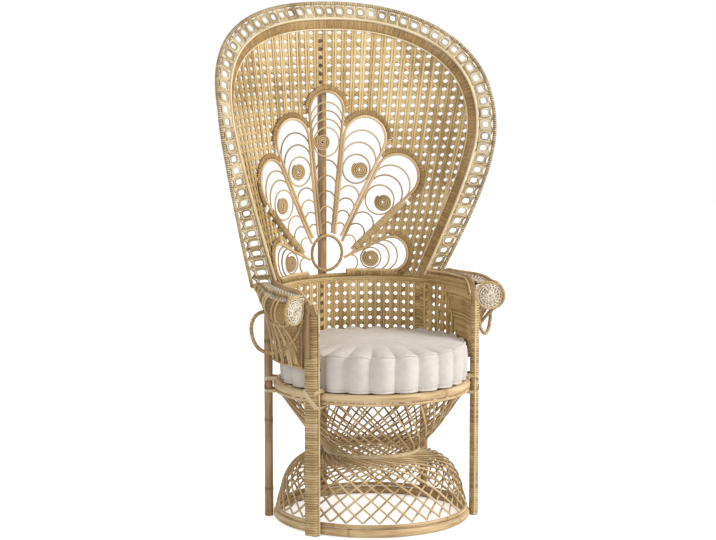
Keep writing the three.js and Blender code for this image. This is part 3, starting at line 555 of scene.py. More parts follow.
# Runs a tree on a mesh of edges or points and keeps the result as a plain mesh
def grown(name, tree, base, smooth, **values):
    thing = bpy.data.objects.new(name, base)
    bpy.context.scene.collection.objects.link(thing)
    maker = thing.modifiers.new("maker", "NODES")
    maker.node_group = tree
    for item in tree.interface.items_tree:
        if item.in_out == "INPUT" and item.name in values:
            maker[item.identifier] = values[item.name]
    graph = bpy.context.evaluated_depsgraph_get()
    mesh = bpy.data.meshes.new_from_object(thing.evaluated_get(graph))
    thing.modifiers.remove(maker)
    thing.data = mesh
    bpy.data.meshes.remove(base)
    mesh.name = name
    mesh.polygons.foreach_set("use_smooth", np.full(len(mesh.polygons), smooth))
    return thing


def settle(thing, nodes=(), body="chair"):
    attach(thing, body)
    if nodes:
        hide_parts(*nodes)


def round_piece(name, courses, diameter, material, nodes=(), facets=10, body="chair"):
    thing = grown(name, ROUND_CANES, course_mesh(name, courses), True, Diameter=diameter * MM, Facets=facets,
                  Material=material)
    settle(thing, nodes, body)


def flat_canes(name, base, smooth, strip, material):
    width, thick = strip
    return grown(name, FLAT_CANES, base, smooth, Width=width * MM, Thickness=thick * MM, Material=material)


def flat_piece(name, courses, strip, material, nodes=()):
    settle(flat_canes(name, course_mesh(name, courses), False, strip, material), nodes)


# A ring of flat cane round a section given by its outline
def cane_ring(name, outline, strip, material):
    spots = np.asarray(outline, float)
    ahead = np.roll(spots, -1, 0) - np.roll(spots, 1, 0)
    normal = np.stack([ahead[:, 1], -ahead[:, 0], np.zeros(len(spots))], 1)
    normal /= np.linalg.norm(normal, axis=1, keepdims=True)
    points = np.column_stack([spots, np.zeros(len(spots))]) + normal * strip[1] / 2
    course = {"points": points, "closed": True, "facing": normal}
    return flat_canes(name, course_mesh(name, [course], np.zeros(3), False), True, strip, material)


def ellipse(width, depth, count=12):
    turn = 2 * np.pi * np.arange(count) / count
    return np.stack([width / 2 * np.cos(turn), depth / 2 * np.sin(turn)], 1)


def bound_piece(name, courses, outline, turns, material, nodes=(), slant=0.06):
    *strip, pitch = turns
    ring = cane_ring(name + "_ring", outline, strip, material)
    base = course_mesh(name, courses, shaded_points=False)
    thing = grown(name, CANE_TURNS, base, True, Ring=ring, Pitch=pitch * MM, Slant=slant, Material=material)
    shape = ring.data
    bpy.data.objects.remove(ring)
    bpy.data.meshes.remove(shape)
    settle(thing, nodes)


# A rod with cane bound closely round it
def bound_rod(name, course, rod, turns, nodes=(), core=POLE, facets=10, finish=BINDING, slant=0.1):
    round_piece(name + "_core", [course], rod, core, nodes, facets)
    bound_piece(name + "_turns", [course], ellipse(rod, rod, 10), turns, finish, slant=slant)


# Courses
def around(radius, angle, height, side=1.0):
    turn = np.radians(angle)
    radius, turn, height = np.broadcast_arrays(np.asarray(radius, float), turn, np.asarray(height, float))
    return np.stack([side * radius * np.sin(turn), -radius * np.cos(turn), height], -1)


def outward(angle, side=1.0):
    return around(1.0, angle, 0.0, side)


def spline(knots, count):
    knots = np.asarray(knots, float)
    padded = np.vstack([2 * knots[0] - knots[1], knots, 2 * knots[-1] - knots[-2]])
    place = np.linspace(0, len(knots) - 1, count)
    index = np.minimum(place.astype(int), len(knots) - 2)
    t = (place - index)[:, None]
    a, b, c, d = (padded[index + i] for i in range(4))
    return 0.5 * (2 * b + (c - a) * t + (2 * a - 5 * b + 4 * c - d) * t ** 2 + (3 * b - a - 3 * c + d) * t ** 3)


def evenly(points, pitch):
    points = np.asarray(points, float)
    run = np.concatenate([[0], np.cumsum(np.linalg.norm(np.diff(points, axis=0), axis=1))])
    count = max(2, int(round(run[-1] / pitch)) + 1)
    place = np.linspace(0, run[-1], count)
    return np.stack([np.interp(place, run, points[:, i]) for i in range(points.shape[1])], 1)


# A bare pole swells and darkens at its growth rings
def pole_course(points, ring_every=260.0, closed=False, swell=0.05):
    pitch = 5.0
    spots = evenly(points, pitch)
    run = np.arange(len(spots)) * pitch
    girth = 1 + 0.012 * np.sin(run / 97.0 + chance.uniform(0, 6))
    shade = np.full(len(spots), chance.uniform(-0.4, 0.4))
    for ring in np.arange(ring_every * chance.uniform(0.25, 0.6), run[-1] - 20, ring_every):
        spot = ring + chance.uniform(-30, 30)
        girth = girth + swell * np.exp(-((run - spot) / 6.0) ** 2)
        shade = shade - 1.6 * np.exp(-((run - spot) / 4.0) ** 2)
    if closed:
        spots, girth, shade = spots[:-1], girth[:-1], shade[:-1]
    return {"points": spots, "girth": girth, "shade": shade, "closed": closed}


# Hoops, deck and bars
for name, radius, height, rod, facets in (
        ("floor_hoop", HOOP_RADIUS, FLOOR_HOOP_HEIGHT, HOOP_ROD - SKIN, 16),
        ("floor_hoop_upper", HOOP_RADIUS, UPPER_FLOOR_HEIGHT, UPPER_FLOOR_POLE, 12),
        ("seat_hoop", HOOP_RADIUS, SEAT_HOOP_HEIGHT, SEAT_HOOP_POLE, 16),
        ("seat_hoop_under", UNDER_HOOP_RADIUS, UNDER_HOOP_HEIGHT, UNDER_HOOP_POLE, 10)):
    hoop = pole_course(around(radius, np.linspace(0, 360, 181), height), 330.0, closed=True, swell=0.03)
    round_piece(name + "_pole", [hoop], rod, PEELED, [name], facets)


def deck_courses():
    courses = []
    lines = np.arange(-DECK_LINES, DECK_LINES + 1) * DECK_PITCH
    for axis in (0, 1):
        for i, line in enumerate(lines):
            half = math.sqrt(DECK_RADIUS ** 2 - line ** 2)
            run = np.linspace(-half, half, max(6, int(2 * half / (DECK_PITCH / 2))))
            lift = 1.1 * np.cos(np.pi * run / DECK_PITCH) * (-1) ** (i + axis)
            spots = np.stack([np.full_like(run, line), run], 1)
            if axis:
                spots = spots[:, ::-1]
            points = np.column_stack([spots, DECK_HEIGHT + lift])
            courses.append({"points": points, "facing": np.array([0.0, 0.0, 1.0])})
    return courses


flat_piece("seat_deck_weave", deck_courses(), DECK_STRIP, CANE, nodes=["seat_deck"])
BAR_HALF = math.sqrt(SEAT_HOLE ** 2 - BAR_EDGE ** 2) - 1.0
for label, side in SIDES:
    bar = [[side * BAR_OFFSET, end * BAR_HALF, BAR_HEIGHT] for end in (-1.0, 1.0)]
    round_piece(f"seat_bar_{label}_pole", [pole_course(bar)], BAR_POLE, POLE, [f"seat_bar_{label}"], 12)


# Hourglass lattice: two families of canes that lean opposite ways and cross round the waist.
# Its profile is given in shares of the way from the waist to the seat hoop and to the floor hoops.
def lattice_profile():
    def past_waist(rim, end, radius, height):
        return [WAIST_RADIUS + (rim - WAIST_RADIUS) * radius, WAIST_HEIGHT + (end - WAIST_HEIGHT) * height]

    cone = [(1, 1), (0.93, 0.94), (0.42, 0.38), (0, 0)]
    dome = [(0.18, 0.1), (0.45, 0.17), (0.7, 0.33), (0.85, 0.57), (0.95, 0.9), (1, 1)]
    knots = [past_waist(WEAVE_RIM, WEAVE_TOP, *share) for share in cone]
    knots += [past_waist(HOOP_RADIUS, WEAVE_FOOT, *share) for share in dome]
    return spline(knots, STRAND_STEPS), (STRAND_STEPS - 1) * (len(cone) - 1) // (len(knots) - 1)


def lattice_courses():
    profile, waist = lattice_profile()
    step = np.linalg.norm(np.diff(profile, axis=0), axis=1)
    run = np.concatenate([[0], np.cumsum(step / (profile[1:, 0] * profile[:-1, 0]))])
    turn = np.where(run <= run[waist], run / run[waist] * CONE_TWIST,
                    CONE_TWIST + (run - run[waist]) / (run[-1] - run[waist]) * DOME_TWIST)
    ahead = np.gradient(profile, axis=0)
    ahead /= np.linalg.norm(ahead, axis=1, keepdims=True)
    steps = np.arange(STRAND_STEPS)
    fade = np.minimum(1, np.minimum(steps, steps[::-1]) / STRAND_FADE)
    courses = []
    for lean in (1, -1):
        layer = lean * WEAVE_LAYER * fade
        points = around(profile[:, 0] - layer * ahead[:, 1], lean * turn, profile[:, 1] + layer * ahead[:, 0])
        courses.append({"points": points})
    return courses


strands = course_mesh("pedestal_lattice", lattice_courses(), np.zeros(3), False)
# The lattice's darker finish is painted shade for the inside of the pedestal
lattice = grown("pedestal_lattice", TURNED_CANES, strands, True, Diameter=STRAND_ROD * MM, Facets=6,
                Copies=STRAND_COUNT, Axis=tuple(HOOP_CENTRE * MM), Material=LATTICE)
settle(lattice, ["pedestal_weave"])
TIE_RADIUS = WAIST_RADIUS + WEAVE_LAYER + STRAND_ROD / 2 + 2.0
ties = [{"points": around(TIE_RADIUS, np.linspace(0, 360, 121)[:-1], WAIST_HEIGHT + rise), "closed": True}
        for rise in (-4, 0, 4)]
round_piece("pedestal_waist_ties", ties, TIE_ROD, CANE, facets=8)


# Legs, arm poles and spine
def leg_place(offset, height, side):
    swing = np.degrees(np.arctan2(offset, FRONT_LEG_RADIUS))
    return around(np.hypot(FRONT_LEG_RADIUS, offset), FRONT_LEG_ANGLE + swing, height, side)


def stadium(half, radius):
    turn = np.linspace(-np.pi / 2, np.pi / 2, 9)
    right = np.stack([half + radius * np.cos(turn), radius * np.sin(turn)], 1)
    return np.vstack([right, -right])


def arm_course(side):
    upright = [leg_place(PAIR_HALF, BINDING_HEIGHT + rise, side) for rise in (-40, 0.3, 20)]
    sweep = [around(rail, angle, height, side) for angle, rail, height, _, _ in ARM_RISE[::-1]]
    return spline(np.array(upright + sweep), 80)


def rail_height(angle):
    bend = arm_course(1.0)
    turn = np.degrees(np.arctan2(bend[:, 0], -bend[:, 1]))
    order = np.argsort(turn)
    return np.interp(angle, turn[order], bend[order, 2])


# A thin light rod from the inside of the bend along the rail's inner edge to the foot of the rim
def trim_course(side):
    bend = arm_course(side)
    inward = -bend * [1, 1, 0]
    inward /= np.linalg.norm(inward, axis=1, keepdims=True)
    points = bend + inward * (FRONT_POLE / 2 + 1.5) + [0, 0, 4.0]
    start = 0.0 if side > 0 else 1.0
    turned = [rim_section(start + side * share, 0.0) for share in (0.008, 0.02, 0.03)]
    return {"points": evenly(spline(np.vstack([points[6:-8:6], turned]), 120), 5.0)}


for label, side in SIDES:
    shaft = [leg_place(-PAIR_HALF, height, side) for height in np.linspace(0, BINDING_HEIGHT, 12)]
    lean = [leg_place(-PAIR_HALF + shift, BINDING_HEIGHT + rise, side) for shift, rise in ((3, 14), (11, 30))]
    post = spline(np.array(shaft + lean), 120)
    whole = np.vstack([[leg_place(PAIR_HALF, 0, side)], arm_course(side)])
    for name, points in ((f"front_post_{label}", post), (f"arm_pole_{label}", whole)):
        round_piece(name + "_pole", [pole_course(points)], FRONT_POLE - SKIN, POLE, [name], 14)
    across = leg_place(PAIR_HALF, 0, side) - leg_place(-PAIR_HALF, 0, side)
    across = across / np.linalg.norm(across)
    name = f"leg_binding_{label}"
    for part, offset, foot, top, outline, nodes in (
            ("turns", 0, BINDING_FOOT, PAIR_TOP - 4, stadium(PAIR_HALF, BINDING_DEPTH - 2.0), [name]),
            ("upper", -PAIR_HALF, PAIR_TOP, BINDING_HEIGHT - 4, ellipse(FRONT_POLE, FRONT_POLE, 16), ())):
        sleeve = {"points": np.array([leg_place(offset, height, side) for height in (foot, top)]), "facing": across}
        bound_piece(f"{name}_{part}", [sleeve], outline, LEG_TURNS, BINDING, nodes, slant=0.05)
    rod = [leg_place(-PAIR_HALF - BINDING_DEPTH - 2.2, height, side) for height in (1.0, BINDING_HEIGHT + 8)]
    round_piece(f"leg_trim_{label}_rod", [pole_course(rod, 400)], LEG_TRIM, CANE, facets=8)
    leg = [around(REAR_LEG_RADIUS, REAR_LEG_ANGLE, height, side) for height in (0, WAIST_TOP)]
    round_piece(f"rear_leg_{label}_pole", [pole_course(leg, 210)], REAR_POLE - SKIN, POLE,
                [f"rear_leg_{label}"], 16)
    band = {"points": around(REAR_LEG_RADIUS, REAR_LEG_ANGLE, np.array(REAR_BAND_SPAN), side),
            "facing": outward(REAR_LEG_ANGLE, side)}
    bound_piece(f"rear_leg_{label}_bands", [band], ellipse(REAR_BAND, REAR_BAND, 14), REAR_TURNS, BINDING)
spine = [around(SPINE_RADIUS, 180, height) for height in (0, SPINE_HEIGHT)]
round_piece("spine_pole_bare", [pole_course(spine, 230)], SPINE_POLE - SKIN, POLE, ["spine_pole"], 16)


# Lashings: two slings of three canes that cross on the leg and are tacked to the hoops
def lashing_courses(angle, leg_half, leg_depth, side):
    outer = HOOP_REACH + 2 * SLING_CLEAR + leg_depth
    top, foot = SEAT_TOP + SLING_CLEAR, UNDER_HOOP_HEIGHT - UNDER_HOOP_ROD / 2 - SLING_CLEAR
    reach = max((top - foot) / 2, leg_half) * math.sqrt(2) + SLING_REACH
    corner = reach / 3
    turn = np.radians(np.linspace(90, 0, 7))
    upper = np.stack([outer - corner + corner * np.cos(turn), reach - corner + corner * np.sin(turn)], 1)
    lower = (upper * [1, -1])[::-1]
    sling = evenly(np.vstack([[[SLING_END, reach]], upper, lower, [[SLING_END, -reach]]]), 5.0)
    ahead = np.gradient(sling, axis=0)
    normal = np.stack([ahead[:, 1], -ahead[:, 0]], 1)
    normal /= np.linalg.norm(normal, axis=1, keepdims=True)
    radial, tangent, up = outward(angle, side), outward(angle + 90, side), np.array([0.0, 0.0, 1.0])
    courses = []
    for layer, lean in enumerate((1, -1)):
        spin = (tangent * lean + up) / math.sqrt(2)
        beside = (tangent - lean * up) / math.sqrt(2)
        laid = sling + normal * (1.0 + 1.5 * layer)
        facing = normal[:, :1] * radial + normal[:, 1:] * spin
        for shift in SLING_SHIFTS:
            points = laid[:, :1] * radial + laid[:, 1:] * spin + shift * beside + up * (top + foot) / 2
            courses.append({"points": points, "facing": facing})
    return courses


for label, side in SIDES:
    for place, angle, half, depth in (("front", FRONT_LEG_ANGLE, PAIR_HALF + BINDING_DEPTH, 2 * BINDING_DEPTH),
                                      ("rear", REAR_LEG_ANGLE, REAR_POLE / 2, REAR_POLE)):
        name = f"{place}_lashing_{label}"
        flat_piece(name + "_slings", lashing_courses(angle, half, depth, side), SLING_STRIP, CANE, [name])
flat_piece("spine_lashing_slings", lashing_courses(180, SPINE_POLE / 2, SPINE_POLE, 1.0), SLING_STRIP, CANE,
           ["spine_lashing"])

# Rails of the low wall, closely bound
for name, start, height, turns in (("wall_foot_rail", WALL_FRONT_ANGLE, FOOT_RAIL_HEIGHT, FOOT_RAIL_TURNS),
                                   ("waist_rail", CORNER_ANGLE, WAIST_RAIL_HEIGHT, WAIST_RAIL_TURNS)):
    angles = np.linspace(start, 360 - start, int((360 - 2 * start) / 2) + 1)
    rail = {"points": around(WALL_RADIUS, angles, height), "facing": outward(angles)}
    bound_rod(name, rail, WALL_ROD, turns, [name], facets=8, slant=0.06)


# Six-way cane: upright and level pairs, with two sets of diagonals that pass over one and under the other.
# The grid is in pitches; keep says which of its spots lie in the panel, and lay puts a spot on the surface.
PAIR_SPLIT = 0.14
PAIR_GIRTH = 1.06
SLANT_GIRTH = 1.14
LAYER = 1.4
UPRIGHT_LAYERS = 1.3
LEVEL_LAYERS = 0.2


def six_way(columns, rows, keep, lay, bearing):
    (left, right), (low, high) = columns, rows
    runs = []
    for column in range(left, right + 1):
        for split in (-PAIR_SPLIT, PAIR_SPLIT):
            v = np.arange(low * 4, high * 4 + 1) / 4
            runs.append((np.full_like(v, column + split), v, np.full_like(v, UPRIGHT_LAYERS * LAYER), PAIR_GIRTH))
    for row in range(low, high + 1):
        for split in (-PAIR_SPLIT, PAIR_SPLIT):
            u = np.arange(left * 4, right * 4 + 1) / 4
            runs.append((u, np.full_like(u, row + split), np.full_like(u, LEVEL_LAYERS * LAYER), PAIR_GIRTH))
    reach = right - left + high - low + 2
    for lean in (1, -1):
        for start in range(-reach, reach + 1):
            v = np.arange(low * 8, high * 8 + 1) / 8
            u = lean * v + start + 0.5
            runs.append((u, v, lean * LAYER * np.cos(2 * np.pi * u), SLANT_GIRTH))
    courses = []
    for u, v, lift, girth in runs:
        inside = keep(u, v)
        edges = np.flatnonzero(np.diff(np.concatenate([[0], inside.astype(int), [0]])))
        for first, last in zip(edges[::2], edges[1::2]):
            if last - first > 2:
                points = lay(u[first:last], v[first:last], lift[first:last])
                courses.append({"points": points, "facing": bearing(u[first:last], v[first:last]), "girth": girth})
    return courses


def wall_lay(along, height, lift, side):
    return around(WALL_RADIUS - lift, np.degrees(along / WALL_RADIUS), height, side)


def wall_facing(along, side):
    return -outward(np.degrees(along / WALL_RADIUS), side)


# Holes stop under a dense strip at the top and, on the side walls, at a slanting edge behind the front leg
def front_edge(height):
    return EDGE_FOOT + (EDGE_TOP - EDGE_FOOT) * (height - WALL_FOOT) / (HOLE_TOP - WALL_FOOT)


def side_top(angle):
    return np.maximum(SIDE_TOP_LOW, rail_height(angle) - 2.0)


def back_top(angle):
    return np.full_like(np.asarray(angle, float), WALL_TOP)


# The close weave turns outward to meet the front leg
def leg_flare(angle):
    return LEG_GAP * np.clip((WALL_FRONT_ANGLE + LEG_TURN - angle) / LEG_TURN, 0, 1)


def wall_cane(start, end, side, begins):
    first, last = np.radians(start) * WALL_RADIUS, np.radians(end) * WALL_RADIUS
    count = max(1, round((last - first) / CANE_PITCH))
    pitch = (last - first) / count
    slack = 0.02

    def keep(u, v):
        angle = np.degrees((first + u * pitch) / WALL_RADIUS)
        inside = (u >= -slack) & (u <= count + slack) & (v >= -slack) & (v <= HOLE_ROWS + slack)
        return inside & (angle >= begins(WALL_FOOT + v * CANE_RISE) - 1.0)

    return six_way((0, count), (0, HOLE_ROWS), keep,
                   lambda u, v, lift: wall_lay(first + u * pitch, WALL_FOOT + v * CANE_RISE, lift, side),
                   lambda u, v: wall_facing(first + u * pitch, side))


# Close weave of level canes over hidden stakes
def dense_courses(spans, top, side):
    courses = []
    for row in range(int((WAIST_TOP + FRONT_POLE - WALL_FOOT) / DENSE_PITCH)):
        level = WALL_FOOT + (row + 0.5) * DENSE_PITCH
        for first, last in spans(level):
            angle = np.arange(first, last + DENSE_STEP / 2, DENSE_STEP)
            angle = angle[top(angle) >= level]
            if len(angle) > 2:
                along = np.radians(angle) * WALL_RADIUS
                lift = DENSE_LIFT * np.sin(np.pi * along / STAKE_PITCH + np.pi * row) - leg_flare(angle)
                courses.append({"points": wall_lay(along, level, lift, side), "facing": wall_facing(along, side)})
    return courses


# Wide stakes behind the close weave, from its lower edge up
def stake_courses(foot, top, first, last, side):
    courses = []
    for angle in np.arange(first + STAKE_STEP / 2, last, STAKE_STEP):
        low, high = foot(angle), float(top(np.array([angle]))[0])
        height = np.linspace(low, high, max(3, int((high - low) / 12)))
        along = np.full_like(height, np.radians(angle) * WALL_RADIUS)
        courses.append({"points": wall_lay(along, height, -STAKE_DEPTH - leg_flare(angle), side),
                        "facing": wall_facing(along, side), "girth": STAKE_GIRTH})
    return courses


def side_foot(angle):
    if angle > CORNER_ANGLE - CORNER_STRIP:
        return WALL_FOOT
    share = (angle - front_edge(WALL_FOOT)) / (front_edge(HOLE_TOP) - front_edge(WALL_FOOT))
    return WALL_FOOT + min(max(share, 0.0), 1.0) * (HOLE_TOP - WALL_FOOT)


def back_foot(angle):
    return WALL_FOOT if abs(angle - 180) > 180 - CORNER_ANGLE - CORNER_STRIP else HOLE_TOP


def side_spans(level):
    if level > HOLE_TOP:
        return [(WALL_FRONT_ANGLE, CORNER_ANGLE)]
    return [(WALL_FRONT_ANGLE, front_edge(level) + 1.0), (CORNER_ANGLE - CORNER_STRIP, CORNER_ANGLE)]


def back_spans(level):
    if level > HOLE_TOP:
        return [(CORNER_ANGLE, 360 - CORNER_ANGLE)]
    return [(CORNER_ANGLE, CORNER_ANGLE + CORNER_STRIP), (360 - CORNER_ANGLE - CORNER_STRIP, 360 - CORNER_ANGLE)]


def wall_panel(name, side, holes, spans, foot, top, first, last):
    flat_piece(name + "_cane", holes, OPEN_STRIP, GOLDEN, nodes=[name])
    strips = dense_courses(spans, top, side) + stake_courses(foot, top, first, last, side)
    flat_piece(name + "_strips", strips, CLOSE_STRIP, GOLDEN)


for label, side in SIDES:
    wall_panel(f"wall_panel_{label}", side, wall_cane(HOLE_START, CORNER_ANGLE - CORNER_STRIP, side, front_edge),
               side_spans, side_foot, side_top, WALL_FRONT_ANGLE, CORNER_ANGLE)
back_holes = wall_cane(CORNER_ANGLE + CORNER_STRIP, 360 - CORNER_ANGLE - CORNER_STRIP, 1.0, lambda height: 0.0)
wall_panel("wall_panel_back", 1.0, back_holes, back_spans, back_foot, back_top, CORNER_ANGLE, 360 - CORNER_ANGLE)


# The back flares out above the waist
def back_radius(height):
    return WALL_RADIUS + BACK_FLARE * np.maximum(0, height - WAIST_TOP)


def on_back(along, height, forward):
    along, height, forward = np.broadcast_arrays(np.asarray(along, float), np.asarray(height, float), forward)
    radius = back_radius(height)
    turn = along / radius
    depth = WALL_RADIUS - radius + (radius - forward) * np.cos(turn)
    return np.stack([(radius - forward) * np.sin(turn), depth, height], -1)


def back_facing(along, height):
    sideways = on_back(along + 0.5, height, 0.0) - on_back(along - 0.5, height, 0.0)
    upward = on_back(along, height + 0.5, 0.0) - on_back(along, height - 0.5, 0.0)
    normal = np.cross(sideways, upward)
    return normal / np.linalg.norm(normal, axis=-1, keepdims=True)


def rim_outline():
    t = np.linspace(0, 1, 61)[:, None]
    a = np.array([RIM_FOOT, WAIST_TOP])
    b = np.array([(RIM_FOOT + RIM_SIDE) / 2, WAIST_TOP + 0.4 * (RIM_SIDE_HEIGHT - WAIST_TOP)])
    c = np.array([RIM_SIDE, WAIST_TOP + 0.77 * (RIM_SIDE_HEIGHT - WAIST_TOP)])
    d = np.array([RIM_SIDE, RIM_SIDE_HEIGHT])
    flank = (1 - t) ** 3 * a + 3 * (1 - t) ** 2 * t * b + 3 * (1 - t) * t ** 2 * c + t ** 3 * d
    turn = np.radians(np.linspace(0, 90, 241))[1:]
    power = 2 / RIM_ROUNDNESS
    crown = np.stack([RIM_SIDE * np.cos(turn).clip(0) ** power,
                      RIM_SIDE_HEIGHT + (RIM_TOP - RIM_SIDE_HEIGHT) * np.sin(turn) ** power], 1)
    half = np.vstack([flank, crown])
    return evenly(np.vstack([half, (half * [-1, 1])[-2::-1]]), 2.0)


RIM = rim_outline()
RIM_AHEAD = np.gradient(RIM, axis=0)
RIM_AHEAD /= np.linalg.norm(RIM_AHEAD, axis=1, keepdims=True)


def rim_section(u, out, lift=0.0):
    u, out, lift = np.broadcast_arrays(np.asarray(u, float), np.asarray(out, float), np.asarray(lift, float))
    place = u * (len(RIM) - 1)
    grid = np.arange(len(RIM))
    spot = np.stack([np.interp(place, grid, RIM[:, i]) for i in (0, 1)], -1)
    ahead = np.stack([np.interp(place, grid, RIM_AHEAD[:, i]) for i in (0, 1)], -1)
    normal = np.stack([ahead[..., 1], -ahead[..., 0]], -1)
    drop = np.clip((FOLD_HEIGHT - spot[..., 1]) / (FOLD_HEIGHT - WAIST_TOP), 0, 1)
    fold = np.radians(BORDER_TOP_FOLD + (BORDER_FOOT_FOLD - BORDER_TOP_FOLD) * drop)
    reach = out * (BORDER_TOP_WIDTH + (BORDER_FOOT_WIDTH - BORDER_TOP_WIDTH) * drop) / BORDER_TOP_WIDTH
    spread_out = np.where(out <= 0, out, reach * np.cos(fold) + lift * np.sin(fold))
    forward = np.where(out <= 0, RIM_FRONT_LIFT * (1 + out / PANEL_EDGE) + lift,
                       RIM_FRONT_LIFT - reach * np.sin(fold) + lift * np.cos(fold))
    place = spot + normal * spread_out[..., None]
    return on_back(place[..., 0], np.maximum(WAIST_TOP, place[..., 1]), forward)


def rim_facing(u, out):
    face = rim_section(u, out, 1.0) - rim_section(u, out, 0.0)
    return face / np.linalg.norm(face, axis=-1, keepdims=True)


def rim_course(out, lift=0.0):
    u = np.linspace(0, 1, 360)
    return {"points": rim_section(u, out, lift), "facing": rim_facing(u, out)}


RIM_INNER = PANEL_EDGE - RIM_INNER_ROD / 2 - 1.2
BAND_OUTER = -RIM_FRONT_ROD / 2 - 0.3
BAND_WIDTH = 26.0
BAND_LIFT = 3.0
BAND_CORE = 4.4
EDGE_ROD = 5.0
round_piece("rim_inner_rod_cane", [rim_course(-RIM_INNER)], RIM_INNER_ROD, CANE, ["rim_inner_rod"])
round_piece("rim_front_rod_cane", [rim_course(0.0)], RIM_FRONT_ROD, CANE, ["rim_front_rod"])
bound_rod("rim_outer_rod", rim_course(BORDER_TOP_WIDTH), RIM_OUTER_ROD - 2, RIM_TURNS, ["rim_outer_rod"],
          finish=BORDER, slant=0.12)
bound_piece("rim_band_turns", [rim_course(BAND_OUTER - BAND_WIDTH / 2, BAND_LIFT)],
            ellipse(BAND_CORE, BAND_WIDTH - 1.6), BAND_TURNS, BAND, ["rim_band"], slant=0.04)
round_piece("rim_edge_rod_cane", [rim_course(BAND_OUTER - BAND_WIDTH - 1.5, BAND_LIFT + 2.5)], EDGE_ROD, CANE,
            facets=8)

# Openwork border: nested rounded loops side by side, canes between them and scallops along both rods
LOOP_FOOT = 9.5
LOOP_HEAD = BORDER_TOP_WIDTH - 11.5
LOOP_ROUNDNESS = 0.68


def arch_courses():
    turn = np.linspace(0, 2 * np.pi, 29)[:-1]
    along, across = (np.sign(way) * np.abs(way) ** LOOP_ROUNDNESS for way in (np.cos(turn), np.sin(turn)))
    centre, reach = (LOOP_FOOT + LOOP_HEAD) / 2, (LOOP_HEAD - LOOP_FOOT) / 2
    courses = []

    def add(u, out, lift, **more):
        courses.append({"points": rim_section(u, out, lift), "facing": rim_facing(u, out), **more})

    for i in range(ARCH_COUNT):
        middle = (i + 0.5) / ARCH_COUNT
        for half, inset, lift in ((0.42, 0.0, 1.3), (0.295, 4.0, 0.7)):
            add(middle + half * along / ARCH_COUNT, centre + (reach - inset) * across, lift, closed=True)
        bow = np.linspace(-0.5, 0.5, 9)
        add(middle + bow / ARCH_COUNT, LOOP_HEAD - 0.5 + 7.0 * np.abs(2 * bow) ** 1.6, -0.6, girth=1.3)
        add(middle + bow / ARCH_COUNT, LOOP_FOOT - 1.0 - 2.5 * np.abs(2 * bow) ** 1.6, -0.6, girth=1.5)
    for i in range(1, ARCH_COUNT):
        out = np.linspace(4.5, BORDER_TOP_WIDTH - 6.0, 8)
        add(np.full_like(out, i / ARCH_COUNT), out, -1.2, girth=2.2)
    return courses


flat_piece("rim_arches_loops", arch_courses(), LOOP_STRIP, BORDER, nodes=["rim_arches"])


# Fan
def petal_spot(petal, side, along, across):
    turn = math.radians(petal["angle"])
    along, across = np.broadcast_arrays(np.asarray(along, float), np.asarray(across, float))
    x = petal["apex"][0] + along * math.sin(turn) + across * math.cos(turn)
    return np.stack([side * x, FAN_HEIGHT + petal["apex"][1] + along * math.cos(turn) - across * math.sin(turn)], -1)


def beside_edge(petal, along, inset, edge=1.0):
    half = math.radians(petal["half"])
    return along * math.cos(half) + inset * math.sin(half), edge * (along * math.sin(half) - inset * math.cos(half))


def tip_radius(petal):
    return petal["reach"] * math.sin(math.radians(petal["half"])) - RIB_INSET


def half_width(petal, along):
    half = math.radians(petal["half"])
    return along * math.tan(half) - RIB_INSET / math.cos(half)


def on_fan(spots, forward=FAN_FORWARD):
    return on_back(spots[:, 0], spots[:, 1], forward)


def fan_course(spots, closed=False, forward=FAN_FORWARD):
    return {"points": on_fan(spots, forward), "facing": back_facing(spots[:, 0], spots[:, 1]), "closed": closed}


def rib_start(petal):
    along = np.arange(petal["eye"], 0, -0.5)
    spots = [petal_spot(petal, 1.0, *beside_edge(petal, along, RIB_INSET, edge)) for edge in (1.0, -1.0)]
    near = np.min([np.hypot(spot[:, 0], spot[:, 1] - FAN_HEIGHT) for spot in spots], axis=0)
    blocked = (near < FAN_RING_RADIUS + FAN_ROD) | (half_width(petal, along) < FAN_ROD / 2 + 0.3)
    return along[int(np.argmax(blocked)) - 1]


def tip_arc(petal, low, high, out):
    turn = np.radians(np.linspace(low, high, 40))
    radius = tip_radius(petal) + out
    return np.stack([petal["reach"] + radius * np.cos(turn), radius * np.sin(turn)], 1)


def petal_loop(petal):
    along = np.linspace(rib_start(petal), petal["reach"] * math.cos(math.radians(petal["half"])), 40)[:-1]
    rib = np.stack(beside_edge(petal, along, RIB_INSET), 1)
    tip = tip_arc(petal, 90 + petal["half"], -90 - petal["half"], 0.0)
    return np.vstack([rib, tip, (rib * [1, -1])[::-1]])


def hoop_radius(petal):
    return half_width(petal, petal["eye"]) - FAN_ROD / 2 - ARC_ROD / 2 + 1.0


def petal_arcs(petal):
    ring = hoop_radius(petal)
    above, below = petal["pitches"]
    apexes = [petal["eye"] + ring + above * i for i in range(1, petal["above"] + 1)]
    apexes += [petal["eye"] - ring - ARC_DROP - below * i for i in range(petal["below"])]
    half = math.radians(petal["half"])
    arcs = []
    for apex in apexes:
        centre = (apex + RIB_INSET / math.cos(half)) / (1 + math.tan(half))
        radius = half_width(petal, centre)
        if centre > rib_start(petal):
            turn = np.radians(np.linspace(-88, 88, 17))
            arcs.append(np.stack([centre + radius * np.cos(turn), radius * np.sin(turn)], 1))
    return arcs


def bezier(a, b, c, count):
    t = np.linspace(0, 1, count)[:, None]
    return (1 - t) ** 2 * a + 2 * (1 - t) * t * b + t ** 2 * c


def strut_line(first, last, inset):
    return np.stack(beside_edge(PETALS["middle"], np.linspace(first, last, 40), inset), 1)


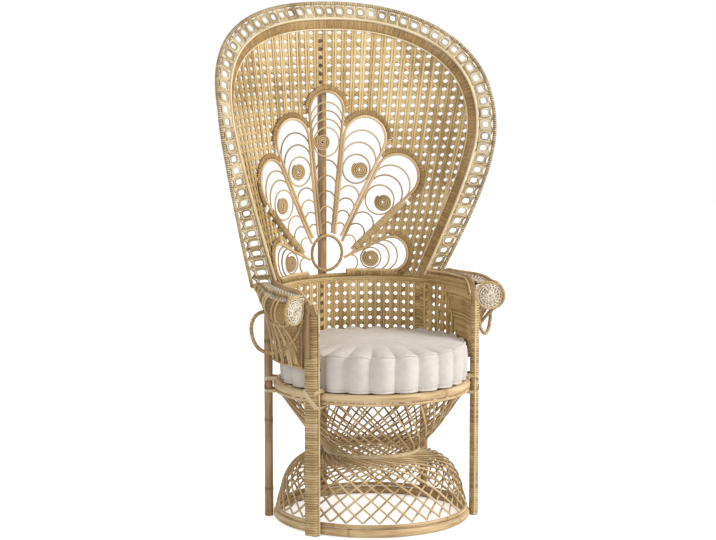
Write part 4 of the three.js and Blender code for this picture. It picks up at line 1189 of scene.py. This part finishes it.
# Where each petal's rounded tip shows between its neighbours, in degrees about the tip's centre
TIP_SPANS = {"centre": (-80, 80), "upper": (-74, 74), "middle": (-74, 104), "lower": (-80, 78)}
borders, sleeves, low_ribs = [], [], []
for kind, petal in PETALS.items():
    for label, side in (SIDES if petal["angle"] else SIDES[1:]):
        name = f"{kind}_{label}" if petal["angle"] else kind
        frames = [fan_course(petal_spot(petal, side, *petal_loop(petal).T))]
        arcs = [fan_course(petal_spot(petal, side, *arc.T)) for arc in petal_arcs(petal)]
        turn = np.linspace(0, 2 * np.pi, 37)[:-1]
        ring = hoop_radius(petal)
        arcs.append(fan_course(petal_spot(petal, side, petal["eye"] + ring * np.cos(turn), ring * np.sin(turn)), True))
        if kind == "lower":
            middle = PETALS["middle"]
            frames.append(fan_course(petal_spot(middle, side, *strut_line(STRUT_FOOT, STRUT_REACH, -RIB_INSET).T)))
            sleeves.append(fan_course(petal_spot(middle, side, *strut_line(STRUT_FOOT + 28, STRUT_REACH - 18, 0.0).T)))
            along = np.linspace(rib_start(petal) + 2, petal["reach"] + 14, 60)
            bound = petal_spot(petal, side, *beside_edge(petal, along, RIB_INSET))
            bound[:, 1] = (bound[:, 1] + WAIST_RAIL_HEIGHT) / 2
            low_ribs.append(fan_course(bound, forward=FAN_FORWARD / 2))
        band = tip_arc(petal, *TIP_SPANS[kind], FAN_ROD / 2 + BORDER_BAND / 2)
        borders.append(fan_course(petal_spot(petal, side, *band.T), forward=FAN_FORWARD - 1.5))
        round_piece(f"petal_{name}_frame", frames, FAN_ROD - 0.4, PEELED, [f"petal_{name}"])
        round_piece(f"petal_{name}_arcs", arcs, ARC_ROD, COIL, facets=8)
        slide = ring - ARC_ROD / 2 - EYE_RADIUS
        slide *= {"centre": -1.0, "lower": 1.0}.get(kind, 1.0 if side > 0 else 0.2)
        eye = petal_spot(petal, side, [petal["eye"]], [slide])
        base = course_mesh(f"eye_{name}_coil", [fan_course(eye)], shaded_points=False)
        base.attributes.new("upward", "FLOAT_VECTOR", "POINT").data.foreach_set("vector", np.array([0.0, 0.0, 1.0]))
        coil = grown(f"eye_{name}_coil", WOUND_COIL, base, True, Diameter=EYE_CANE * MM, Radius=EYE_RADIUS * MM,
                     Turns=EYE_TURNS, Material=EYE)
        settle(coil, [f"eye_{name}"])
bound_piece("fan_border_turns", borders, ellipse(5.0, BORDER_BAND - 1.0), BORDER_TURNS, BAND, slant=0.08)
bound_piece("fan_strut_turns", sleeves, ellipse(*STRUT_SLEEVE, 14), STRUT_TURNS, BINDING, slant=0.05)
bound_piece("fan_low_rib_turns", low_ribs, ellipse(*LOW_RIB_SLEEVE, 14), LOW_RIB_TURNS, BINDING, slant=0.1)

turn = np.linspace(0, 2 * np.pi, 49)[:-1]
ring_spots = np.stack([FAN_RING_RADIUS * np.sin(turn), FAN_HEIGHT + FAN_RING_RADIUS * np.cos(turn)], 1)
bound_rod("fan_ring", fan_course(ring_spots, True), FAN_RING_ROD, FAN_RING_TURNS, ["fan_ring"])


# Cane of the back, between the rim and the fan's outline, on uprights that spread as the back widens
def fan_outline():
    half = []
    for kind, petal in PETALS.items():
        low, high = TIP_SPANS[kind]
        if kind == "lower":
            along = np.linspace(GUSSET_START, petal["reach"] * math.cos(math.radians(petal["half"])), 30)
            half.append(petal_spot(petal, 1.0, *beside_edge(petal, along, RIB_INSET, -1.0)))
        half.append(petal_spot(petal, 1.0, *tip_arc(petal, max(low, 0) if kind == "centre" else low, high, 0.0).T))
        if kind == "middle":
            half.append(petal_spot(petal, 1.0, *strut_line(STRUT_REACH, STRUT_FOOT, -RIB_INSET).T))
    half.append(np.array([[half[-1][-1, 0], WAIST_TOP - 20]]))
    right = np.vstack(half)
    return np.vstack([(right * [-1, 1])[::-1], right])


def within(outline, x, y):
    ax, ay = outline[:, 0], outline[:, 1]
    bx, by = np.roll(ax, -1), np.roll(ay, -1)
    x, y = x[:, None], y[:, None]
    crosses = (ay > y) != (by > y)
    slope = np.where(by == ay, 1e-9, by - ay)
    return (crosses & (x < (bx - ax) * (y - ay) / slope + ax)).sum(1) % 2 == 1


RIM_INSET = RIM - np.stack([RIM_AHEAD[:, 1], -RIM_AHEAD[:, 0]], 1) * (PANEL_EDGE - 5.0)
RIM_INSET = np.vstack([RIM_INSET, [[RIM_INSET[-1, 0], WAIST_TOP - 20], [RIM_INSET[0, 0], WAIST_TOP - 20]]])
FAN_OUTLINE = fan_outline()
BACK_PITCH = 25.5
BACK_RISE = 24.2
BACK_COLUMNS = 18
BACK_ROWS = 31
MIDDLE_RADIUS = 417.0


def back_along(u, v):
    return u * BACK_PITCH * np.sqrt(back_radius(WAIST_TOP + v * BACK_RISE) / MIDDLE_RADIUS)


def back_keep(u, v):
    along, height = back_along(u, v), WAIST_TOP + v * BACK_RISE
    return within(RIM_INSET, along, height) & ~within(FAN_OUTLINE, along, height) & (v >= 0)


def back_lay(u, v, lift):
    return on_back(back_along(u, v), WAIST_TOP + v * BACK_RISE, lift)


def back_bearing(u, v):
    return back_facing(back_along(u, v), WAIST_TOP + v * BACK_RISE)


back_canes = six_way((-BACK_COLUMNS, BACK_COLUMNS), (0, BACK_ROWS), back_keep, back_lay, back_bearing)
flat_piece("back_panel_cane", back_canes, OPEN_STRIP, GOLDEN, nodes=["back_panel"])

# Arms: an open weave that rolls outward over paired ribs, and a bound scroll at the front
WING_FINE = spline(WING_RISE, 121)
WING_SHARES = np.linspace(0, 1, 121)


def wing_place(u, across, lift, side):
    u, across, lift = np.broadcast_arrays(np.asarray(u, float), np.asarray(across, float), np.asarray(lift, float))
    angle, rail, height, reach, roll = (np.interp(u, WING_SHARES, WING_FINE[:, i]) for i in range(5))
    start = rail + FRONT_POLE / 2 + 0.6
    centre = reach - roll
    turn = np.radians(90 + (WING_END - 90) * (across - WING_FLAT) / (1 - WING_FLAT))
    flat = across < WING_FLAT
    radius = np.where(flat, start + (centre - start) * across / WING_FLAT, centre + (roll + lift) * np.cos(turn))
    level = np.where(flat, height + lift, height - roll + (roll + lift) * np.sin(turn))
    return around(radius, angle, level, side)


def wing_facing(u, across, side):
    face = wing_place(u, across, 1.0, side) - wing_place(u, across, 0.0, side)
    return face / np.linalg.norm(face, axis=-1, keepdims=True)


def wing_courses(side, near, far, weavers, sunk):
    courses = []

    def add(u, across, lift):
        courses.append({"points": wing_place(u, across, lift - sunk, side), "facing": wing_facing(u, across, side)})

    for i in range(WING_STAKES):
        across = np.linspace(near, far, 2 * weavers)
        u = np.full_like(across, 0.015 + 0.97 * i / (WING_STAKES - 1))
        add(u, across, WEAVE_LIFT * np.cos(np.pi * (across - near) / (far - near) * weavers) * (-1) ** i)
    for j in range(weavers):
        u = np.linspace(0.01, 0.99, 2 * WING_STAKES)
        across = np.full_like(u, near + (far - near) * (j + 0.5) / weavers)
        add(u, across, -WEAVE_LIFT * np.cos(np.pi * u * WING_STAKES) * (-1) ** j)
    return courses


def rib_courses(side):
    courses = [{"points": around(RIB_FOOT, np.linspace(*RIB_RAIL, 20), FOOT_RAIL_HEIGHT, side)}]
    for pair in range(RIB_PAIRS):
        for split in (-1.0, 1.0):
            angle = RIB_FIRST + RIB_STEP * pair + split
            share = np.interp(-angle, -WING_FINE[:, 0], WING_SHARES)
            top = wing_place(share, 1.0, 0.0, 1.0)
            foot, head = np.array([RIB_FOOT, FOOT_RAIL_HEIGHT]), np.array([np.hypot(top[0], top[1]), top[2]])
            bow = bezier(foot, foot + RIB_BOW * (head - foot), head, 20)
            over = wing_place(share, np.linspace(1.0, CREST - 0.06, 14)[1:], 1.6, side)
            courses.append({"points": np.vstack([around(bow[:, 0], angle, bow[:, 1], side), over])})
    return courses


def scroll_spot(reach, height, side):
    leg = leg_place(0, 0, 1.0)
    heading = math.radians(SCROLL_HEADING)
    return np.stack([side * (leg[0] + reach * math.sin(heading)), leg[1] + reach * math.cos(heading), height], -1)


def scroll_course(side):
    sweep = spline(np.array(SCROLL_SWEEP, float), 90)
    return {"points": evenly(scroll_spot(sweep[:, 0], sweep[:, 1], side), 4.0), "facing": np.array([0.0, -1.0, 0.0])}


# An open front panel fills the space between the front leg, the wing's front edge and the first ribs.
# At each height it has an outer radius, and an angle at the leg and at that radius.
WEB_TOP = 672.0
WEB_FOOT = 478.0
WEB_CHANGE = 622.0
WEB_INNER = 306.0
WEB_PITCH = 6.8
WEB_STAKES = 7
WEB_HEIGHTS = (478, 560, 605, 640, 672)
WEB_OUTER = (290, 322, 350, 348, 345)
WEB_NEAR = (69.5, 69.5, 69, 68.3, 67.6)
WEB_FAR = (73.4, 73.4, 73.4, 70, 68.6)


def web_place(height, across, lift, side):
    outer, near, far = (np.interp(height, WEB_HEIGHTS, table) for table in (WEB_OUTER, WEB_NEAR, WEB_FAR))
    radius = WEB_INNER + (outer - WEB_INNER) * across
    return around(radius, near + (far - near) * across - np.degrees(lift / radius), height, side)


def web_courses(side, low, high):
    courses = []
    facing = outward(FRONT_ANGLE - 60, side)
    for i in range(WEB_STAKES):
        height = np.arange(low, high, 3.0)
        lift = WEAVE_LIFT * np.cos(np.pi * height / WEB_PITCH) * (-1) ** i
        courses.append({"points": web_place(height, i / (WEB_STAKES - 1), lift, side), "facing": facing})
    for j, level in enumerate(np.arange(low, high, WEB_PITCH)):
        across = np.linspace(0, 1, 2 * WEB_STAKES)
        lift = -WEAVE_LIFT * np.cos(np.pi * across * (WEB_STAKES - 1)) * (-1) ** j
        courses.append({"points": web_place(level + 9.0 * across * (1 - across), across, lift, side), "facing": facing})
    return courses


# The roll's front end is a round speckled web, given by radius and height
LOBE = np.array([345.0, 638.0])
LOBE_RADIUS = 38.0
LOBE_DOME = 4.0
LOBE_LIFT = 0.8
LOBE_SPOKES = 18
LOBE_RINGS = 5


def lobe_spots(radius, turn):
    return LOBE + radius * np.stack([np.cos(turn), np.sin(turn)], 1)


def lobe_place(spots, lift, side):
    return around(spots[:, 0], FRONT_ANGLE - 0.6 - np.degrees(lift / spots[:, 0]), spots[:, 1], side)


def lobe_courses(side):
    facing = outward(FRONT_ANGLE - 90, side)
    courses = []
    for i in range(LOBE_SPOKES):
        share = np.linspace(0.08, 1.0, 11)
        turn = 2 * np.pi * i / LOBE_SPOKES + 0.5 * share
        lift = LOBE_DOME * (1 - share ** 2) + LOBE_LIFT * np.cos(LOBE_RINGS * np.pi * share) * (-1) ** i
        courses.append({"points": lobe_place(lobe_spots(LOBE_RADIUS * share[:, None], turn), lift, side),
                        "facing": facing})
    for j, share in enumerate(np.linspace(0.2, 0.92, LOBE_RINGS)):
        turn = 2 * np.pi * np.arange(36) / 36
        lift = LOBE_DOME * (1 - share ** 2) - LOBE_LIFT * np.cos(LOBE_SPOKES * turn) * (-1) ** j
        courses.append({"points": lobe_place(lobe_spots(LOBE_RADIUS * share, turn), lift, side), "facing": facing,
                        "closed": True})
    return courses


# One bound rod runs from the rim's foot along the wing's crest, round its front end and under the ribs to the scroll
def hem_course(side):
    start = rim_section(0.0 if side > 0 else 1.0, BORDER_TOP_WIDTH)
    crest = wing_place(np.linspace(0.08, 0.84, 8), 0.37, 3.0, side)
    edge = lobe_spots(LOBE_RADIUS + 3.0, np.radians([62, 30, -4, -38, -66]))
    front = around(edge[:, 0], np.array([68.6, 67.6, 67.4, 68.0, 69.6]), edge[:, 1], side)
    under = around(np.array([374.0, 378.0]), np.array([73.6, 78.2]), np.array([601.0, 610.0]), side)
    joined = scroll_spot(np.array([122.0, 140.0, 158.0]), np.array([629.0, 630.0, 619.0]), side)
    whole = spline(np.vstack([start, crest, front, under, joined]), 200)
    return {"points": evenly(whole, 4.0), "facing": outward(90.0, side)}


for label, side in SIDES:
    round_piece(f"arm_trim_{label}_rod", [trim_course(side)], ARM_ROD, CANE, facets=8)
    flat_piece(f"arm_wing_{label}_weave", wing_courses(side, 0.01, CREST, 14, 0.0), WING_STRIP, PALE,
               nodes=[f"arm_wing_{label}"])
    # The roll takes the darker binding finish: painted shade for the underside of the wing's roll
    flat_piece(f"arm_wing_{label}_roll", wing_courses(side, CREST, 0.99, 10, 2.0), WING_STRIP, BAND)
    flat_piece(f"arm_lobe_{label}_weave", lobe_courses(side), LOBE_STRIP, PALE)
    flat_piece(f"arm_web_{label}_top", web_courses(side, WEB_CHANGE, WEB_TOP), WEB_TOP_STRIP, PALE)
    # The web's lower part takes the darker binding finish: painted shade below the wing
    flat_piece(f"arm_web_{label}_foot", web_courses(side, WEB_FOOT, WEB_CHANGE), WEB_FOOT_STRIP, BAND)
    edge = np.linspace(0.0, 1.0, 40)
    ends = [{"points": wing_place(*place, 0.0, side)} for place in ((1.0, edge), (0.0, edge), (edge, 1.0))]
    lobe_edge = lobe_spots(LOBE_RADIUS, 2 * np.pi * np.arange(48) / 48)
    ends.append({"points": lobe_place(lobe_edge, 0.0, side), "closed": True})
    round_piece(f"arm_wing_{label}_ends", ends, ARM_ROD, COIL, facets=8)
    bound_rod(f"arm_hem_{label}", hem_course(side), HEM_ROD, HEM_TURNS, core=CANE, facets=8)
    round_piece(f"arm_ribs_{label}_canes", rib_courses(side), ARM_ROD, PEELED, [f"arm_ribs_{label}"], 8)
    bound_rod(f"arm_scroll_{label}", scroll_course(side), SCROLL_ROD, SCROLL_TURNS, [f"arm_scroll_{label}"])


# Cushion: pillows between sewn seams, blown up as cloth, with a rolled edge at top and bottom.
# A spot on the cover has a share of the radius, a share of the rise and a share of the tufts' depth.
CUSHION_TURN = 2 * np.pi * np.arange(CUSHION_TUFTS * TUFT_COLUMNS) / (CUSHION_TUFTS * TUFT_COLUMNS)


def cushion_place(share, rise, tuft, turn):
    dip = 1 - np.abs(np.sin(CUSHION_TUFTS * turn / 2)) ** 0.7
    pucker = TUFT_PUCKER * dip * tuft * np.sin(2 * np.pi * rise * TUFT_FOLDS + 2.4 * np.sin(5 * turn))
    belly = 1 - 0.9 * np.abs(2 * np.asarray(rise) - 1) ** 3
    radius = share * (CUSHION_RADIUS + 1.0 - BELLY_DEPTH * (1 - belly)) - tuft * TUFT_DEPTH * dip + pucker
    upper = np.where(np.asarray(rise) > 0.5, 1.0, 0.0)
    height = CUSHION_FOOT + rise * CUSHION_RISE + upper * CUSHION_CROWN * (1 - share ** 2)
    height = height - upper * np.where(np.asarray(share) < 0.995, 1.0, 0.0) * tuft * TUFT_SINK * dip
    return np.stack([radius * np.sin(turn), -radius * np.cos(turn) - CUSHION_FORWARD, height + 0 * turn], -1)


def cushion_form():
    rows = [[share, 0.0, 0.0] for share in np.linspace(0.12, 0.9, 8)] + [[0.955, 0.0, 0.3], [0.985, 0.035, 0.8]]
    rows += [[1.0, rise, 1.0] for rise in np.linspace(0.09, 0.91, 14)]
    rows += [[0.985, 0.965, 0.9], [0.955, 0.992, 0.85], [0.915, 1.0, 0.75], [0.86, 1.0, 0.62], [0.79, 1.0, 0.45],
             [0.7, 1.0, 0.28]]
    rows += [[share, 1.0, 0.0] for share in np.linspace(0.6, 0.12, 8)]
    rows = np.array(rows)
    share, rise, tuft = (rows[:, i:i + 1] for i in range(3))
    return rows, cushion_place(share, rise, tuft, CUSHION_TURN[None, :])


def cushion_piece():
    rows, points = cushion_form()
    count, columns = points.shape[:2]
    i, j = np.meshgrid(np.arange(count - 1) * columns, np.arange(columns), indexing="ij")
    ahead = (j + 1) % columns
    quads = np.stack([i + j, i + ahead, i + columns + ahead, i + columns + j], -1).reshape(-1, 4)
    middles = [[0, -CUSHION_FORWARD, CUSHION_FOOT + rise] for rise in (0.0, CUSHION_RISE + CUSHION_CROWN)]
    spots = (np.vstack([points.reshape(-1, 3), middles]) + HOOP_CENTRE) * MM
    foot, top = count * columns, count * columns + 1
    faces = quads.tolist() + [[foot, (k + 1) % columns, k] for k in range(columns)]
    last = (count - 1) * columns
    faces += [[top, last + k, last + (k + 1) % columns] for k in range(columns)]
    mesh = bpy.data.meshes.new("cushion_cover")
    mesh.from_pydata(spots.tolist(), [], faces)
    mesh.update()
    mesh.materials.append(LINEN)
    cover = bpy.data.objects.new("cushion_cover", mesh)
    bpy.context.scene.collection.objects.link(cover)
    held = cover.vertex_groups.new(name="sewn")
    seam = np.arange(columns) % TUFT_COLUMNS == 0
    sewn = np.zeros((count, columns))
    sewn[rows[:, 1] < 0.04] = 1.0
    sewn[np.ix_(rows[:, 2] > 0.2, seam)] = 1.0
    held.add([int(index) for index in np.flatnonzero(sewn.ravel() > 0)] + [foot], 1.0, "REPLACE")
    blow_up(cover, spots)
    mesh = cover.data
    mesh.polygons.foreach_set("use_smooth", np.full(len(mesh.polygons), True))
    smooth = cover.modifiers.new("soften", "SUBSURF")
    smooth.levels = 1
    smooth.render_levels = 1
    settle(cover, ["cushion"], "cushion")


def cushion_piping():
    upper = cushion_place(0.985, 0.965, 0.85, CUSHION_TURN) + [0, 0, 1.0]
    lower = cushion_place(0.99, 0.045, 0.85, CUSHION_TURN)
    courses = [{"points": edge, "closed": True} for edge in (upper, lower)]
    round_piece("cushion_piping", courses, PIPING_ROD, LINEN, facets=8, body="cushion")


def blow_up(cover, spots):
    scene = bpy.context.scene
    cloth = cover.modifiers.new("blown", "CLOTH")
    cloth.settings.quality = 6
    cloth.settings.use_pressure = True
    cloth.settings.uniform_pressure_force = 4.0
    cloth.settings.vertex_group_mass = "sewn"
    cloth.settings.effector_weights.gravity = 0.0
    cloth.settings.tension_stiffness = 12.0
    cloth.settings.bending_stiffness = 0.4
    for step in range(1, 21):
        scene.frame_set(step)
    graph = bpy.context.evaluated_depsgraph_get()
    blown = np.empty(len(spots) * 3)
    cover.evaluated_get(graph).data.vertices.foreach_get("co", blown)
    move = blown.reshape(-1, 3) - spots
    reach = np.linalg.norm(move, axis=1, keepdims=True)
    move *= np.minimum(1.0, BLOWN_MOST * MM / np.maximum(reach, 1e-9))
    cover.modifiers.remove(cloth)
    scene.frame_set(1)
    cover.data.vertices.foreach_set("co", (spots + move).ravel())
    cover.data.update()


cushion_piece()
cushion_piping()


# Pale floor, soft studio light and a white surround
def surround():
    world = bpy.data.worlds.new("soft_surround")
    world.use_nodes = True
    tree = world.node_tree
    path = knot(tree, "ShaderNodeLightPath")
    seen = sums(tree, "MAXIMUM", path.outputs["Is Camera Ray"], path.outputs["Is Glossy Ray"])
    seen = sums(tree, "MAXIMUM", seen, path.outputs["Is Transmission Ray"])
    strength = spread(tree, seen, 0.0, 1.0, 0.5, 1.0)
    back = tree.nodes["Background"]
    back.inputs["Color"].default_value = (1.0, 1.0, 1.0, 1.0)
    tree.links.new(strength, back.inputs["Strength"])
    bpy.context.scene.world = world
    bpy.context.scene.view_settings.view_transform = "Standard"


def pale_floor():
    mesh = bpy.data.meshes.new("pale_floor")
    reach, sides = 9.0, 96
    turn = 2 * np.pi * np.arange(sides) / sides
    rim = np.stack([reach * np.cos(turn), reach * np.sin(turn), np.full(sides, -MM)], 1)
    mesh.from_pydata(rim.tolist(), [], [list(range(sides))])
    mesh.update()
    material, tree, shader = open_finish("pale_floor")
    path = knot(tree, "ShaderNodeLightPath")
    glow = sums(tree, "MULTIPLY", path.outputs["Is Camera Ray"], 0.6)
    plug(tree, shader, {"Base Color": (0.96, 0.96, 0.95, 1.0), "Roughness": 0.9, "Specular IOR Level": 0.1,
                        "Emission Color": (1.0, 1.0, 1.0, 1.0), "Emission Strength": glow})
    mesh.materials.append(material)
    floor = bpy.data.objects.new("pale_floor", mesh)
    bpy.context.scene.collection.objects.link(floor)


def soft_lamp(name, place, aim, size, power, colour):
    data = bpy.data.lights.new(name, "AREA")
    data.shape = "DISK"
    data.size = size
    data.energy = power
    data.color = colour
    lamp = bpy.data.objects.new(name, data)
    lamp.location = place
    lamp.rotation_euler = (Vector(aim) - Vector(place)).to_track_quat("-Z", "Y").to_euler()
    bpy.context.scene.collection.objects.link(lamp)


surround()
pale_floor()
soft_lamp("key_lamp", (2.7, -2.6, 2.9), (0, 0, 0.8), 2.2, 140.0, (1.0, 0.98, 0.95))
soft_lamp("fill_lamp", (-3.0, -2.6, 1.8), (0, 0, 0.6), 2.6, 30.0, (1.0, 0.98, 0.95))
